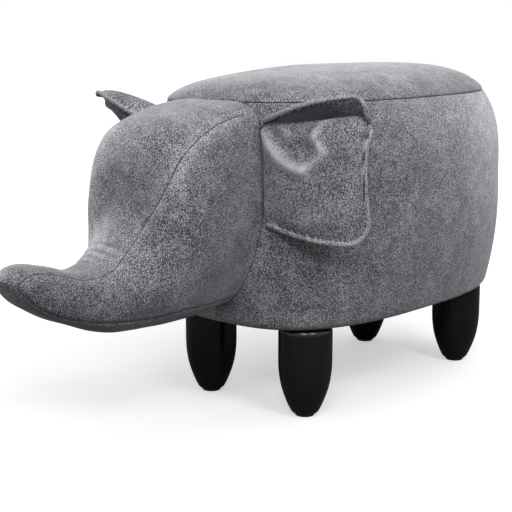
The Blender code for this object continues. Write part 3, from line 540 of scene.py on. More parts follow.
@dataclass(frozen=True)
class NubuckFinish:
    """Faux nubuck leather: a brushed polyester suede with a rubbed, crackled top coat.

    It looks soft and dry, grey with a little blue, clouded by rubbing, with fine paler lines where
    the coat has cracked, and it turns pale at a glancing angle. Each gain is a layer's weight in
    the tone of the coat and the level that it starts from.
    """

    name: str = "rubbed_faux_nubuck"
    deep: str = "#242427"
    ground: str = "#56565b"
    rubbed_and_painted_light: str = "#94949b"
    bare_and_highlight: str = "#bcbcc3"
    seam_shade: str = "#2b2b30"
    sheen_tint: str = "#cccdd6"
    cloud_size: float = 58 * MM
    cloud_gain: Pair = (1.0, -0.02)
    patch_size: float = 16 * MM
    patch_gain: Pair = (1.1, -0.58)
    grain_size: float = 1.05 * MM
    grain_gain: Pair = (6.0, -3.05)
    grain_relief: float = 0.8
    crackle_size: float = 9 * MM
    crackle_width_share: float = 0.055
    crackle_drift: float = 9 * MM
    crackle_gain: Pair = (0.45, -0.04)
    net_size: float = 1.7 * MM
    net_width_share: float = 0.30
    net_drift: float = 1.5 * MM
    net_gain: Pair = (1.1, -0.46)
    wear_and_light_gain: float = 0.30
    tone_span: float = 1.5
    fold_shade: float = 0.8
    seam_half_width: float = 0.3 * MM
    seam_fade: float = 1.3 * MM
    seam_darkness: float = 0.7
    roughness: float = 0.46
    roughness_change: float = 0.08
    bump_strength: float = 0.4
    bump_height: float = 0.3 * MM
    ior: float = 1.45
    gloss: float = 0.45
    sheen: float = 0.6
    sheen_roughness: float = 0.45

    def crooked_lines(
        self, tree: NodeTree, place: NodeSocket, by: Node, drift: float, size: float, width: float
    ) -> NodeSocket:
        """Add a net of fine lines between cells of a real size, pushed about by a noise.

        Args:
            tree: The material's nodes.
            place: Coordinates to read.
            by: Noise whose colour pushes the lines.
            drift: How far it pushes them.
            size: Size of a cell in metres.
            width: Half-width of a line as a share of a cell.

        Returns:
            One on a line's middle, falling to zero at its edge.
        """
        inputs = {0: by.outputs["Color"], 1: (drift,) * 3}
        push = add_node(tree, "ShaderNodeVectorMath", inputs, operation="MULTIPLY").outputs[0]
        moved = add_node(tree, "ShaderNodeVectorMath", {0: place, 1: push}, operation="ADD").outputs[0]
        inputs = {"Vector": moved, "Scale": 1 / size}
        cells = add_node(tree, "ShaderNodeTexVoronoi", inputs, feature="DISTANCE_TO_EDGE")
        return spread(tree, cells.outputs["Distance"], 0.0, width, 1.0, 0.0)

    def build(self) -> Material:
        """Make the material.

        Returns:
            The finished material.
        """
        made, tree, shader = new_material(self.name)
        place = add_node(tree, "ShaderNodeTexCoord").outputs["Object"]
        cloud = noise_node(tree, place, self.cloud_size, 3.0)
        patch = noise_node(tree, place, self.patch_size, 4.0)
        grain = noise_node(tree, place, self.grain_size, 1.0)
        crackle = (self.crackle_drift, self.crackle_size, self.crackle_width_share)
        cracks = self.crooked_lines(tree, place, patch, *crackle)
        net = self.crooked_lines(tree, place, grain, self.net_drift, self.net_size, self.net_width_share)
        # Cracks show most where the coat is rubbed thin, so the patches lead them
        shown = calculate(tree, "MULTIPLY", cracks, patch.outputs["Fac"])
        tone = calculate(tree, "MULTIPLY_ADD", cloud.outputs["Fac"], *self.cloud_gain)
        for layer, gain in (
            (patch.outputs["Fac"], self.patch_gain),
            (grain.outputs["Fac"], self.grain_gain),
            (net, self.net_gain),
            (shown, self.crackle_gain),
        ):
            tone = calculate(tree, "ADD", tone, calculate(tree, "MULTIPLY_ADD", layer, *gain))
        # The wear measure adds real wear together with painted highlight and painted shade from each
        # piece's folds and seams
        tone = calculate(tree, "MULTIPLY_ADD", measure_of(tree, "wear_and_painted_light"), self.wear_and_light_gain, tone)
        # Four tones at even steps, from the unrubbed coat to the bare pale backing; painted highlights on
        # folds and hems reach the two paler tones
        share = calculate(tree, "DIVIDE", tone, self.tone_span)
        ramp = add_node(tree, "ShaderNodeValToRGB", {"Fac": share})
        stops = ramp.color_ramp.elements
        stops[0].color = to_linear(self.deep)
        stops[1].color = to_linear(self.bare_and_highlight)
        for stop, colour in ((1 / 3, self.ground), (2 / 3, self.rubbed_and_painted_light)):
            stops.new(stop).color = to_linear(colour)
        # Where the hollow measure is high the colour is mixed towards the deep tone: painted shade in
        # folds, pockets and on the trunk
        inside = calculate(tree, "MULTIPLY", measure_of(tree, "hollow"), self.fold_shade, clamp=True)
        coat = mixed(tree, inside, ramp.outputs["Color"], to_linear(self.deep))
        # A seam is a narrow dark line; the two measures hold the distance to it in metres
        neck = calculate(tree, "ABSOLUTE", measure_of(tree, "neck"))
        nearest = calculate(tree, "MINIMUM", measure_of(tree, "seam"), neck)
        line = (self.seam_half_width, self.seam_fade, self.seam_darkness, 0.0)
        shade = spread(tree, nearest, *line, interpolation_type="SMOOTHSTEP")
        rough, smooth = self.roughness + self.roughness_change, self.roughness - self.roughness_change
        relief = calculate(tree, "MULTIPLY_ADD", grain.outputs["Fac"], self.grain_relief, net)
        height = {"Height": relief, "Strength": self.bump_strength, "Distance": self.bump_height}
        looks = {
            "Base Color": mixed(tree, shade, coat, to_linear(self.seam_shade)),
            "Roughness": spread(tree, patch.outputs["Fac"], *NOISE_SPAN, rough, smooth),
            "Normal": add_node(tree, "ShaderNodeBump", height).outputs[0],
            "IOR": self.ior,
            "Specular IOR Level": self.gloss,
            "Sheen Weight": self.sheen,
            "Sheen Roughness": self.sheen_roughness,
            "Sheen Tint": to_linear(self.sheen_tint),
        }
        feed(tree, shader, looks)
        return made


@dataclass(frozen=True)
class PlainFinish:
    """A simple finish: two tones of one colour, with its own grain, gloss and relief.

    It fits lacquer, nylon, thread, sawn wood, foam, fibre, plated steel and non-woven cloth, whose
    look is one even colour with a fine texture.
    """

    name: str
    tone: str
    second_tone: str
    grain_size: float
    roughness: float
    relief: float
    metallic: float = 0.0
    ior: float = 1.5
    gloss: float = 0.5
    stretch: Triple = (1.0, 1.0, 1.0)
    roughness_shares: Pair = (0.85, 1.15)
    bump_strength: float = 0.5

    def build(self) -> Material:
        """Make the material.

        Returns:
            The finished material.
        """
        made, tree, shader = new_material(self.name)
        place = add_node(tree, "ShaderNodeTexCoord").outputs["Object"]
        stretched = add_node(tree, "ShaderNodeMapping", {"Vector": place, "Scale": self.stretch})
        grain = noise_node(tree, stretched.outputs[0], self.grain_size, 4.0).outputs["Fac"]
        tones = (to_linear(self.tone), to_linear(self.second_tone))
        ends = [self.roughness * share for share in self.roughness_shares]
        height = {"Height": grain, "Strength": self.bump_strength, "Distance": self.relief}
        looks = {
            "Base Color": mixed(tree, spread(tree, grain, *NOISE_SPAN), *tones),
            "Roughness": spread(tree, grain, 0.0, 1.0, *ends),
            "Normal": add_node(tree, "ShaderNodeBump", height).outputs[0],
            "Metallic": self.metallic,
        }
        if self.metallic == 0.0:
            looks |= {"IOR": self.ior, "Specular IOR Level": self.gloss}
        feed(tree, shader, looks)
        return made


# Wood turned and sprayed: satin black nitrocellulose lacquer, deep and even, with a soft highlight
SATIN_LACQUER = PlainFinish(
    name="satin_black_lacquer",
    tone="#141414",
    second_tone="#191919",
    grain_size=9 * MM,
    roughness=0.20,
    relief=0.02 * MM,
    gloss=0.45,
    stretch=(1.0, 1.0, 0.15),
)
# Injection-moulded nylon, black, slightly scuffed
MOULDED_NYLON = PlainFinish("moulded_black_nylon", "#161616", "#232324", 1.5 * MM, 0.45, 0.03 * MM)
# Bonded polyester thread, dark grey, matt with a twist too fine to show
BONDED_THREAD = PlainFinish("bonded_polyester_thread", "#1d1d21", "#29292e", 0.8 * MM, 0.6, 0.05 * MM)
# Birch plywood, sanded, with long pale grain
SANDED_PLYWOOD = PlainFinish(
    "sanded_birch_plywood", "#c9a77a", "#b48d5f", 12 * MM, 0.6, 0.05 * MM, stretch=(1.0, 0.08, 1.0)
)
# Sawn pine, with darker growth lines
SAWN_PINE = PlainFinish(
    "sawn_pine", "#d2b283", "#b98e58", 8 * MM, 0.7, 0.08 * MM, stretch=(1.0, 1.0, 0.08)
)
# Polyurethane foam, open cells
CUT_FOAM = PlainFinish("cut_polyurethane_foam", "#dccf9f", "#c9b983", 1.2 * MM, 0.95, 0.3 * MM)
# Polyester fibre stuffing, white and fluffy
LOOSE_FIBRE = PlainFinish("loose_polyester_fibre", "#ececea", "#d8d8d4", 2.5 * MM, 0.95, 0.5 * MM)
# Zinc-plated steel, rolled and dulled a little
ZINC_STEEL = PlainFinish("zinc_plated_steel", "#b4b7ba", "#a2a5a9", 3 * MM, 0.32, 0.01 * MM, metallic=1.0)
# Spun-bonded polypropylene, black, with a pressed fine texture
SPUN_CLOTH = PlainFinish("spun_bonded_dust_cloth", "#17171a", "#232327", 1.6 * MM, 0.85, 0.12 * MM)


class FinishShelf:
    """Keeps one material for each finish, made when it is first asked for."""

    def __init__(self) -> None:
        """Start with an empty shelf."""
        self._made: dict[str, Material] = {}

    def get(self, finish: NubuckFinish | PlainFinish) -> Material:
        """Find a finish's material, or make it.

        Args:
            finish: The finish.

        Returns:
            Its material.
        """
        if finish.name not in self._made:
            self._made[finish.name] = finish.build()
        return self._made[finish.name]


# Forms of the covers


@dataclass(frozen=True)
class BodyForm:
    """Sizes of the padded body, and the squared oval that each level of it follows."""

    half_width: float = 0.154
    half_length: float = 0.236
    height: float = 0.249
    rim_height: float = 0.105
    middle_y: float = 0.138
    rim_inset: float = 0.020
    seam_inset: float = 0.016
    bulge_share: float = 0.56
    upper_power: float = 3.5
    lean: float = 0.012
    crown_rise: float = 0.031
    crown_flat: float = 0.035
    crown_squareness: float = 2.4
    crown_roundness: float = 1.5
    front_fall: float = 0.14
    front_fall_reach: float = 0.45
    edge_radius: float = 0.010
    flange: float = 0.012
    rim_squareness: float = 2.8
    oval_squareness: float = 2.4
    cover: float = 1.4 * MM
    base_top: float = 0.119
    board_bottom: float = 0.308
    board_top: float = 0.320
    fuller_corner: float = 0.009
    fuller_drop: float = 0.004
    fuller_degrees: float = 236.0
    fuller_reach: float = 24.0
    fuller_fade: float = 0.5

    @property
    def seam_height(self) -> float:
        """Height of the seam between the side covers and the seat cover."""
        return self.rim_height + self.height

    def upper_share(self, height: float) -> float:
        """Share of the way from the widest line up to the seat seam."""
        share = (height - self.rim_height) / self.height
        return min(max((share - self.bulge_share) / (1.0 - self.bulge_share), 0.0), 1.0)

    def inset(self, height: float) -> float:
        """How far the side lies inside the widest line at a height.

        Args:
            height: Height above the floor.

        Returns:
            The distance.
        """
        share = (height - self.rim_height) / self.height
        if share < self.bulge_share:
            return self.rim_inset * (1.0 - share / self.bulge_share) ** 2
        return self.seam_inset * self.upper_share(height) ** self.upper_power

    def ring(self, inset: float, height: float, angles: np.ndarray) -> np.ndarray:
        """Points of the body's squared oval.

        Args:
            inset: Distance inside the widest line.
            height: Height above the floor.
            angles: Angles round the upright axis.

        Returns:
            One point for each angle.
        """
        share = min(max((height - self.rim_height) / (self.bulge_share * self.height), 0.0), 1.0)
        power = self.rim_squareness + (self.oval_squareness - self.rim_squareness) * share
        along_x = np.cos(angles)
        along_y = np.sin(angles)
        reach = (np.abs(along_x) ** power + np.abs(along_y) ** power) ** (-1.0 / power)
        x = (self.half_width - inset) * reach * along_x
        y = self.middle_y + (self.half_length - inset) * reach * along_y
        forward = climb(self.middle_y - y, 0.0, self.half_length * self.front_fall_reach)
        z = height - self.front_fall * forward * max(height - self.seam_height, 0.0)
        y = y - self.lean * self.upper_share(height) ** self.upper_power
        # Over the right shoulder the covers are stuffed fuller and pulled lower
        apart = (np.degrees(angles) - self.fuller_degrees + 180.0) % 360.0 - 180.0
        outward = min(max((self.half_width - inset) / self.half_width, 0.0), 1.0)
        fuller = bell(apart, self.fuller_reach) * self.upper_share(height)
        fuller = fuller * outward**self.fuller_fade
        x = x + self.fuller_corner * fuller * along_x
        y = y + self.fuller_corner * fuller * along_y
        return np.stack([x, y, z - self.fuller_drop * fuller], axis=1)


HEAD_STATIONS = np.array(
    (
        (-0.150, 1.004, -0.150, 0.108, 0.885, 5.0, 1.80, 57, 51),
        (0.014, 1.006, -0.014, 0.092, 0.890, 5.0, 1.80, 50, 62),
        (0.196, 0.980, 0.094, 0.078, 0.955, 3.6, 1.80, 48.7, 58.7),
        (0.374, 0.920, 0.196, 0.072, 1.000, 2.8, 1.80, 42.3, 54.3),
        (0.427, 0.800, 0.297, 0.073, 0.940, 2.5, 1.80, 43.7, 51.3),
        (0.432, 0.663, 0.388, 0.079, 0.825, 2.4, 1.85, 51.7, 49),
        (0.446, 0.542, 0.471, 0.086, 0.700, 2.4, 1.95, 62, 44.3),
        (0.510, 0.448, 0.558, 0.100, 0.600, 2.5, 2.10, 62.5, 39),
        (0.591, 0.392, 0.656, 0.131, 0.510, 2.6, 2.40, 52, 38.5),
        (0.699, 0.376, 0.739, 0.170, 0.430, 2.8, 2.80, 48, 42),
        (0.801, 0.411, 0.815, 0.205, 0.380, 3.0, 3.00, 43, 46),
        (0.884, 0.434, 0.884, 0.247, 0.340, 3.0, 3.00, 41, 44),
        (0.946, 0.432, 0.935, 0.283, 0.300, 2.8, 2.80, 34, 33),
        (0.982, 0.410, 0.971, 0.325, 0.240, 2.5, 2.50, 13, 13),
        (0.996, 0.392, 0.993, 0.358, 0.130, 2.2, 2.20, 13, 13),
    )
)


@dataclass(frozen=True)
class HeadForm:
    """Sizes of the stuffed head and trunk, and the cross-sections along them.

    Each station gives shares of the head's reach and of the body's height for the forehead line
    and the chin line, then a half-width, two squarenesses and the angles of the two panel seams.
    """

    reach: float = 0.276
    half_width: float = 0.078
    front_y: float = -0.098
    rim_height: float = 0.105
    rise: float = 0.249
    tip_reach: float = 1.0
    tip_height: float = 0.380
    panel_end: float = 13.0
    right_drop_degrees: float = 26.0
    right_drop_place: float = 5.8
    right_drop_reach: float = 2.4
    sector_points: int = 241

    def station(self, place: float) -> np.ndarray:
        """Row of shares at a place along the head, smooth between the stations.

        Args:
            place: Station number, which need not be whole.

        Returns:
            The nine values of the row.
        """
        last = len(HEAD_STATIONS) - 1
        index = min(int(place), last - 1)
        before, start, end, after = (
            HEAD_STATIONS[min(max(index + shift, 0), last)] for shift in (-1, 0, 1, 2)
        )
        blend = place - index
        return 0.5 * (
            2.0 * start
            + (end - before) * blend
            + (2.0 * before - 5.0 * start + 4.0 * end - after) * blend**2
            + (3.0 * start - before - 3.0 * end + after) * blend**3
        )

    def middle_point(self, reach_share: float, height_share: float) -> np.ndarray:
        """Point of the middle plane at shares of the reach and of the height."""
        along = self.front_y - self.reach * reach_share
        return np.array([0.0, along, self.rim_height + self.rise * height_share])

    def section(self, place: float, angles: np.ndarray) -> np.ndarray:
        """Points round the cross-section at a place, seen from the trunk's tip.

        Args:
            place: Station number, up to one past the last for the rounded end.
            angles: Angles round the section.

        Returns:
            One point for each angle.
        """
        last = len(HEAD_STATIONS) - 1
        over = min(max(place - last, 0.0), 1.0)
        row = self.station(min(place, float(last)))
        top = self.middle_point(row[0], row[1])
        under = self.middle_point(row[2], row[3])
        middle = (top + under) / 2
        shrink = math.cos(over * math.pi / 2)
        tip = self.middle_point(self.tip_reach, self.tip_height)
        middle = middle + (tip - middle) * math.sin(over * math.pi / 2)
        power = np.where(np.sin(angles) >= 0.0, row[5], row[6])
        across = np.sign(np.cos(angles)) * np.abs(np.cos(angles)) ** (2.0 / power)
        along = np.sign(np.sin(angles)) * np.abs(np.sin(angles)) ** (2.0 / power)
        points = middle + np.outer(along, (top - under) / 2 * shrink)
        points[:, 0] += self.half_width * row[4] * shrink * across
        return points

    def seam_angles(self, place: float, side: int = 1) -> Pair:
        """Angles of one side's upper and lower panel seam at a place, in radians.

        Args:
            place: Station number.
            side: 1 for the left panel, -1 for the right one, whose seam sits lower in the crook.

        Returns:
            Both angles, measured up and down from level.
        """
        row = self.station(min(place, float(len(HEAD_STATIONS) - 1)))
        drop = 0.0
        if side < 0:
            apart = (place - self.right_drop_place) / self.right_drop_reach
            drop = self.right_drop_degrees * math.exp(-(apart**2))
        return math.radians(row[7] - drop), math.radians(row[8])

    def ring(self, place: float, steps: int, pinch: float) -> np.ndarray:
        """Points round a section, evenly spread on each panel and finer beside its seams.

        Args:
            place: Station number.
            steps: Steps on each of the four panels.
            pinch: How much finer the steps are beside a seam.

        Returns:
            The ring's points, from the left lower seam upwards and round.
        """
        upper, lower = self.seam_angles(place)
        right_upper, _ = self.seam_angles(place, -1)
        sectors = (
            (-lower, upper),
            (upper, math.pi - right_upper),
            (math.pi - right_upper, math.pi + lower),
            (math.pi + lower, math.tau - lower),
        )
        shares = clustered(steps, pinch)[:-1]
        parts = []
        for start, end in sectors:
            angles = np.linspace(start, end, self.sector_points)
            parts.append(resample(self.section(place, angles), shares))
        return np.concatenate(parts)


@dataclass(frozen=True)
class EarForm:
    """Sizes of an ear: a padded flap whose upper part leans forward as a brim.

    The middle sheet is worked out in the axes of the ear's sewn edge: out, back and up.
    """

    side: int
    edge: tuple[tuple[float, float, float, float], ...]
    rise: float
    arch: float
    twist_degrees: float
    fold_degrees: float
    droop_degrees: float
    upper_corner: float
    length: float = 0.117
    root_height: float = 0.11167
    dip: float = 0.018
    dip_turn: float = 0.6
    lower_corner: float = 0.022
    root_fold: float = 0.003
    outer_fold: float = 0.012
    root_brim: float = 0.002
    outer_brim: float = 0.019
    brim_reach: float = 0.6
    brim_start: float = 0.3
    root_share: float = 1.0
    bow: float = 0.010
    belly: float = 0.006
    twist_depth: float = 0.18
    twist_power: float = 1.0
    twist_start: float = 0.35
    hinge_width: float = 30 * MM
    pocket: float = 8 * MM
    pocket_width: float = 9 * MM
    pocket_power: float = 1.2
    flap_steps: int = 40
    brim_steps: int = 12
    row_cluster: float = 0.72

    def corner_drop(self, distance: float, radius: float) -> float:
        """How far a rounded corner draws an edge in, at a distance from the outer end.

        Args:
            distance: Distance from the outer end.
            radius: Radius of the corner.

        Returns:
            How far the edge is drawn in.
        """
        if distance >= radius:
            return 0.0
        return radius - math.sqrt(max(radius**2 - (radius - distance) ** 2, 0.0))

    def brim(self, share: float) -> float:
        """Width of the brim at a share of the ear's length.

        Args:
            share: 0 at the sewn edge, 1 at the outer end.

        Returns:
            The width.
        """
        if self.outer_brim > self.root_brim:
            grown = math.sin(min(share / self.brim_reach, 1.0) * math.pi / 2)
        else:
            grown = share**2
        width = self.root_brim + (self.outer_brim - self.root_brim) * grown
        return width * min(self.root_share + share / self.brim_start, 1.0)

    def flat_line(self, share: float) -> np.ndarray:
        """Points up the sheet before it is puffed and twisted.

        Args:
            share: 0 at the sewn edge, 1 at the outer end.

        Returns:
            Closely spaced points from the lower edge to the brim's edge.
        """
        reach = self.length * share
        swell = math.sin(share * math.pi / 2)
        bottom = -self.dip * math.sin(share * math.pi * self.dip_turn)
        bottom += self.corner_drop(self.length - reach, self.lower_corner)
        top = self.root_height + self.rise * swell + self.arch * math.sin(math.pi * share)
        top -= self.corner_drop(self.length - reach, self.upper_corner)
        fold = self.root_fold + (self.outer_fold - self.root_fold) * swell
        brim = self.brim(share)
        # A drooping brim leans past level, most of all towards the head
        lean = math.radians(self.fold_degrees + self.droop_degrees * (1.0 - share**2))
        crease = top - fold * math.sin(min(lean, math.pi / 2)) - brim * max(math.cos(lean), 0.0)
        bow = self.bow * math.sin(math.pi * share)
        points = []
        for rise in np.linspace(0.0, 1.0, self.flap_steps + 1):
            belly = self.belly * math.sin(math.pi * rise) * swell
            points.append((self.side * reach, -bow - belly, bottom + (crease - bottom) * rise))
        for angle in np.linspace(0.0, lean, self.brim_steps + 1)[1:]:
            forward = bow + fold * (1.0 - math.cos(angle))
            points.append((self.side * reach, -forward, crease + fold * math.sin(angle)))
        start = np.array(points[-1])
        out = np.array([0.0, -math.sin(lean), math.cos(lean)])
        for step in np.linspace(0.0, 1.0, self.brim_steps + 1)[1:]:
            points.append(tuple(start + out * brim * step))
        return np.array(points)

    def column(self, share: float) -> np.ndarray:
        """Points up the finished middle sheet at a share of the ear's length.

        Args:
            share: 0 at the sewn edge, 1 at the outer end.

        Returns:
            The points. Behind each come its place on the flat ear, out and up, and its distance
            above the crease.
        """
        line = self.flat_line(share)
        steps = np.linalg.norm(np.diff(line, axis=0), axis=1)
        travelled = np.concatenate(([0.0], np.cumsum(steps)))
        above = travelled - travelled[self.flap_steps]
        flat_up = line[:, 2].copy()
        pocket = self.pocket * math.sin(share * math.pi / 2) ** self.pocket_power
        line[:, 1] += pocket * bell(above, self.pocket_width)
        fall = np.maximum(1.0 - line[:, 2] / (self.root_height + self.rise), 0.0)
        turned_share = 1.0 - np.exp(-((fall / self.twist_depth) ** self.twist_power))
        turn = self.side * math.radians(self.twist_degrees) * turned_share
        # Near its seam the ear isn't turned back yet, which leaves room for the swing
        turn *= 1.0 - math.exp(-((share / self.twist_start) ** 2))
        x = line[:, 0] * np.cos(turn) - line[:, 1] * np.sin(turn)
        y = line[:, 0] * np.sin(turn) + line[:, 1] * np.cos(turn)
        flat_out = np.full(len(line), self.length * share)
        return np.stack([x, y, line[:, 2], flat_out, flat_up, above], axis=1)

    def sheet(self, columns: int, rows: int) -> tuple[np.ndarray, np.ndarray]:
        """Grid of the middle sheet in the stool's own axes.

        Args:
            columns: Steps from the sewn edge outwards.
            rows: Steps from the lower edge upwards.

        Returns:
            The grid of points, and the grid of their places out and up and their distance above
            the crease.
        """
        outward = 1.0 - (1.0 - np.linspace(0.0, 1.0, columns + 1)) ** 2
        upward = clustered(rows, self.row_cluster)
        grid = np.array([resample(self.column(share), upward) for share in outward])
        edge = np.array(self.edge)
        return grid[..., :3] @ edge[:, :3].T + edge[:, 3], grid[..., 3:]

    def hinge(self) -> tuple[Row, Row]:
        """Ends of a strip from the sewn edge outwards, the hinge width long.

        Returns:
            A point on the sewn edge, and one straight out from it at the strip's end.
        """
        edge = np.array(self.edge)
        outer = edge[:, 3] + edge[:, 0] * self.side * self.hinge_width
        return tuple(edge[:, 3]), tuple(outer)


# Upholstery


@dataclass
class Stitching:
    """Lines of thread: short raised stitches along a seam."""

    shelf: FinishShelf
    pitch: float = 4.4 * MM
    length: float = 2.8 * MM
    radius: float = 0.42 * MM
    rounding_share: float = 0.55
    sides: int = 6

    def shape(self) -> tuple[np.ndarray, Faces]:
        """Model one stitch: a short thread with rounded ends, lying along X.

        Returns:
            Its points and its faces.
        """
        stitch = basic_shape(
            bpy.ops.mesh.primitive_cylinder_add,
            vertices=self.sides,
            radius=self.radius,
            depth=self.length,
            rotation=(0.0, math.pi / 2, 0.0),
        )
        bpy.ops.object.mode_set(mode="EDIT")
        bpy.ops.mesh.select_mode(type="FACE")
        bpy.ops.mesh.select_all(action="DESELECT")
        bm = bmesh.from_edit_mesh(stitch.data)
        # Only the two end faces point along X
        for face in bm.faces:
            face.select_set(abs(face.normal.x) > 0.9)
        bmesh.update_edit_mesh(stitch.data)
        bpy.ops.mesh.bevel(offset=self.radius * self.rounding_share, segments=1)
        bpy.ops.object.mode_set(mode="OBJECT")
        return modelled(stitch)

    def sew(self, name: str, line: np.ndarray, tree: BVHTree, sink: float = 0.15 * MM) -> None:
        """Lay a row of stitches along a line on the leather.

        Args:
            name: Name of the thread.
            line: Points of the seam.
            tree: Surfaces that the thread lies on.
            sink: How deep each stitch's middle lies under the surface.
        """
        total = np.linalg.norm(np.diff(line, axis=0), axis=1).sum()
        count = max(int(total / self.pitch), 2)
        shares = (np.arange(count) + 0.5) / count
        half = self.length / 2 / total
        centres, normals = laid_on(resample(line, shares), tree)
        ahead, _ = laid_on(resample(line, np.minimum(shares + half, 1.0)), tree)
        behind, _ = laid_on(resample(line, np.maximum(shares - half, 0.0)), tree)
        frames = []
        for centre, normal, along in zip(centres, normals, ahead - behind):
            along = along / max(np.linalg.norm(along), TINY)
            normal = normal - along * np.dot(normal, along)
            normal /= max(np.linalg.norm(normal), TINY)
            frames.append((np.stack([along, np.cross(normal, along), normal]), centre - normal * sink))
        thread = mesh_object(name, *place_copies(self.shape(), frames), self.shelf.get(BONDED_THREAD))
        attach(thread, Rider.STOOL.value)
        log.info("%s: %d stitches over %.0f mm", name, count, total / MM)


@dataclass
class PaddedBody:
    """The oval padded body: one side cover with its foam, and the seat cushion on top."""

    shelf: FinishShelf
    form: BodyForm = field(default_factory=BodyForm)
    turns: int = 200
    wall_rows: int = 46
    wall_cluster: float = 0.55
    crown_rows: int = 34
    crown_cluster: float = 1.5
    seam_points: int = 1200
    upright_points: int = 120
    foam_depth: float = 24 * MM
    gap: float = 0.3 * MM
    seam_roll: float = 0.35 * MM
    seam_roll_width: float = 2.2 * MM
    seam_drop: float = 0.2 * MM
    seam_line_inset: float = 0.8 * MM
    side_turn_in: float = 3.2 * MM
    lining_drop: float = 3 * MM
    seat_turn_in: float = 4.2 * MM
    seat_wall_inset: float = 2.4 * MM
    seat_wall_start: float = 12 * MM
    seat_wall_end: float = 4 * MM
    flange_shares: Row = (0.0, 0.35, 0.7)
    under_shares: Row = (0.04, 0.3, 0.6)
    top_shares: Row = (0.3, 0.6, 0.85)
    side: Object | None = None
    seat: Object | None = None

    def rolled(self, distance: float) -> float:
        """How far the leather turns in, at a distance from a seam."""
        return self.seam_roll * math.exp(-((distance / self.seam_roll_width) ** 2))

    def side_profile(self) -> list[Pair]:
        """Section of the side: round the lower edge, up the wall and back down inside.

        Returns:
            Insets and heights, starting at the flange's inner end.
        """
        form = self.form
        rim = form.rim_height
        seam = form.seam_height
        flange_end = form.rim_inset + form.edge_radius + form.flange
        rows = [(flange_end - form.flange * share, rim) for share in self.flange_shares]
        for degrees in range(0, 91, 10):
            angle = math.radians(degrees)
            height = rim + form.edge_radius * (1.0 - math.cos(angle))
            rows.append((form.inset(height) + form.edge_radius * (1.0 - math.sin(angle)), height))
        low = rim + form.edge_radius
        for share in clustered(self.wall_rows, self.wall_cluster)[1:]:
            height = low + (seam - low) * share
            rows.append((form.inset(height) + self.rolled(seam - height), height))
        rows.append((form.seam_inset + self.side_turn_in, seam - self.seam_drop))
        under_board = form.board_bottom - self.gap
        over_base = form.base_top + self.gap
        for height, depth in (
            (seam - self.lining_drop, form.cover),
            (under_board, form.cover),
            (under_board, self.foam_depth),
            (over_base, self.foam_depth),
            (over_base, form.cover),
            (low, form.cover),
        ):
            rows.append((form.inset(height) + depth, height))
        rows.append((form.rim_inset + form.edge_radius, rim + form.cover))
        rows.append((flange_end, rim + form.cover))
        return rows

    def seat_profile(self) -> list[Pair]:
        """Section of the seat cushion, from its flat underside over the seam to the flat of its top.

        Returns:
            Insets and heights.
        """
        form = self.form
        seam = form.seam_height
        rows = []
        under = form.board_top + self.gap
        for share in self.under_shares:
            rows.append((form.half_width - (form.half_width - form.inset(under)) * share, under))
        for height in (under, under + self.seat_wall_start, seam - self.seat_wall_end):
            rows.append((form.inset(height) + self.seat_wall_inset, height))
        rows.append((form.seam_inset + self.seat_turn_in, seam - self.seam_drop))
        span = form.half_width - form.crown_flat - form.seam_inset
        travelled = 0.0
        before = (form.seam_inset, seam)
        for share in np.linspace(0.0, 1.0, self.crown_rows + 1) ** self.crown_cluster:
            swell = (1.0 - (1.0 - share) ** form.crown_squareness) ** (1.0 / form.crown_roundness)
            place = (form.seam_inset + span * share, seam + self.gap + form.crown_rise * swell)
            travelled += math.dist(place, before)
            before = place
            rows.append((place[0] + self.rolled(travelled), place[1]))
        top = before[1]
        for share in self.top_shares:
            rows.append((form.half_width - form.crown_flat * (1.0 - share), top))
        return rows

    def loft(self, name: str, profile: list[Pair], hollow: bool) -> Object:
        """Sweep a section round the body and smooth it.

        Args:
            name: Name of the piece.
            profile: Insets and heights of the section.
            hollow: Whether the section's two ends meet. Else both are closed across the middle.

        Returns:
            The piece.
        """
        angles = round_angles(self.turns)
        points = np.concatenate([self.form.ring(inset, height, angles) for inset, height in profile])
        faces = grid_faces(len(profile), self.turns, wrap=True)
        last = (len(profile) - 1) * self.turns
        if hollow:
            for column in range(self.turns):
                after = (column + 1) % self.turns
                faces.append((last + column, last + after, after, column))
        else:
            faces += closing_strips(0, self.turns) + closing_strips(last, self.turns)
        item = mesh_object(name, points, faces, self.shelf.get(NubuckFinish()))
        subdivide(item)
        log.info("%s: %d faces", name, len(item.data.polygons))
        return item

    def build(self) -> None:
        """Sew, fill and dress the side and the seat."""
        self.side = self.loft("side_cushion", self.side_profile(), hollow=True)
        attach(self.side, Rider.STOOL.value)
        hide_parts("side_cover_left", "side_cover_right", "foam_wrap_left", "foam_wrap_right")
        self.seat = self.loft("seat_cushion", self.seat_profile(), hollow=False)
        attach(self.seat, Rider.STOOL.value)
        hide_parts("seat_cover", "seat_foam")

    def seam_ring(self) -> np.ndarray:
        """Closely spaced points of the seat seam, all round."""
        inset = self.form.seam_inset + self.seam_line_inset
        return self.form.ring(inset, self.form.seam_height, round_angles(self.seam_points, closed=True))

    def upright_seams(self) -> tuple[np.ndarray, np.ndarray]:
        """Points of the side cover's two upright seams.

        Returns:
            The seam at the front, and the one at the middle of the back.
        """
        form = self.form
        low = form.rim_height + form.edge_radius
        lines = []
        for angle in (-math.pi / 2, math.pi / 2):
            line = []
            for height in np.linspace(low, form.seam_height, self.upright_points):
                line.append(form.ring(form.inset(height), height, np.array([angle]))[0])
            lines.append(np.array(line))
        return lines[0], lines[1]


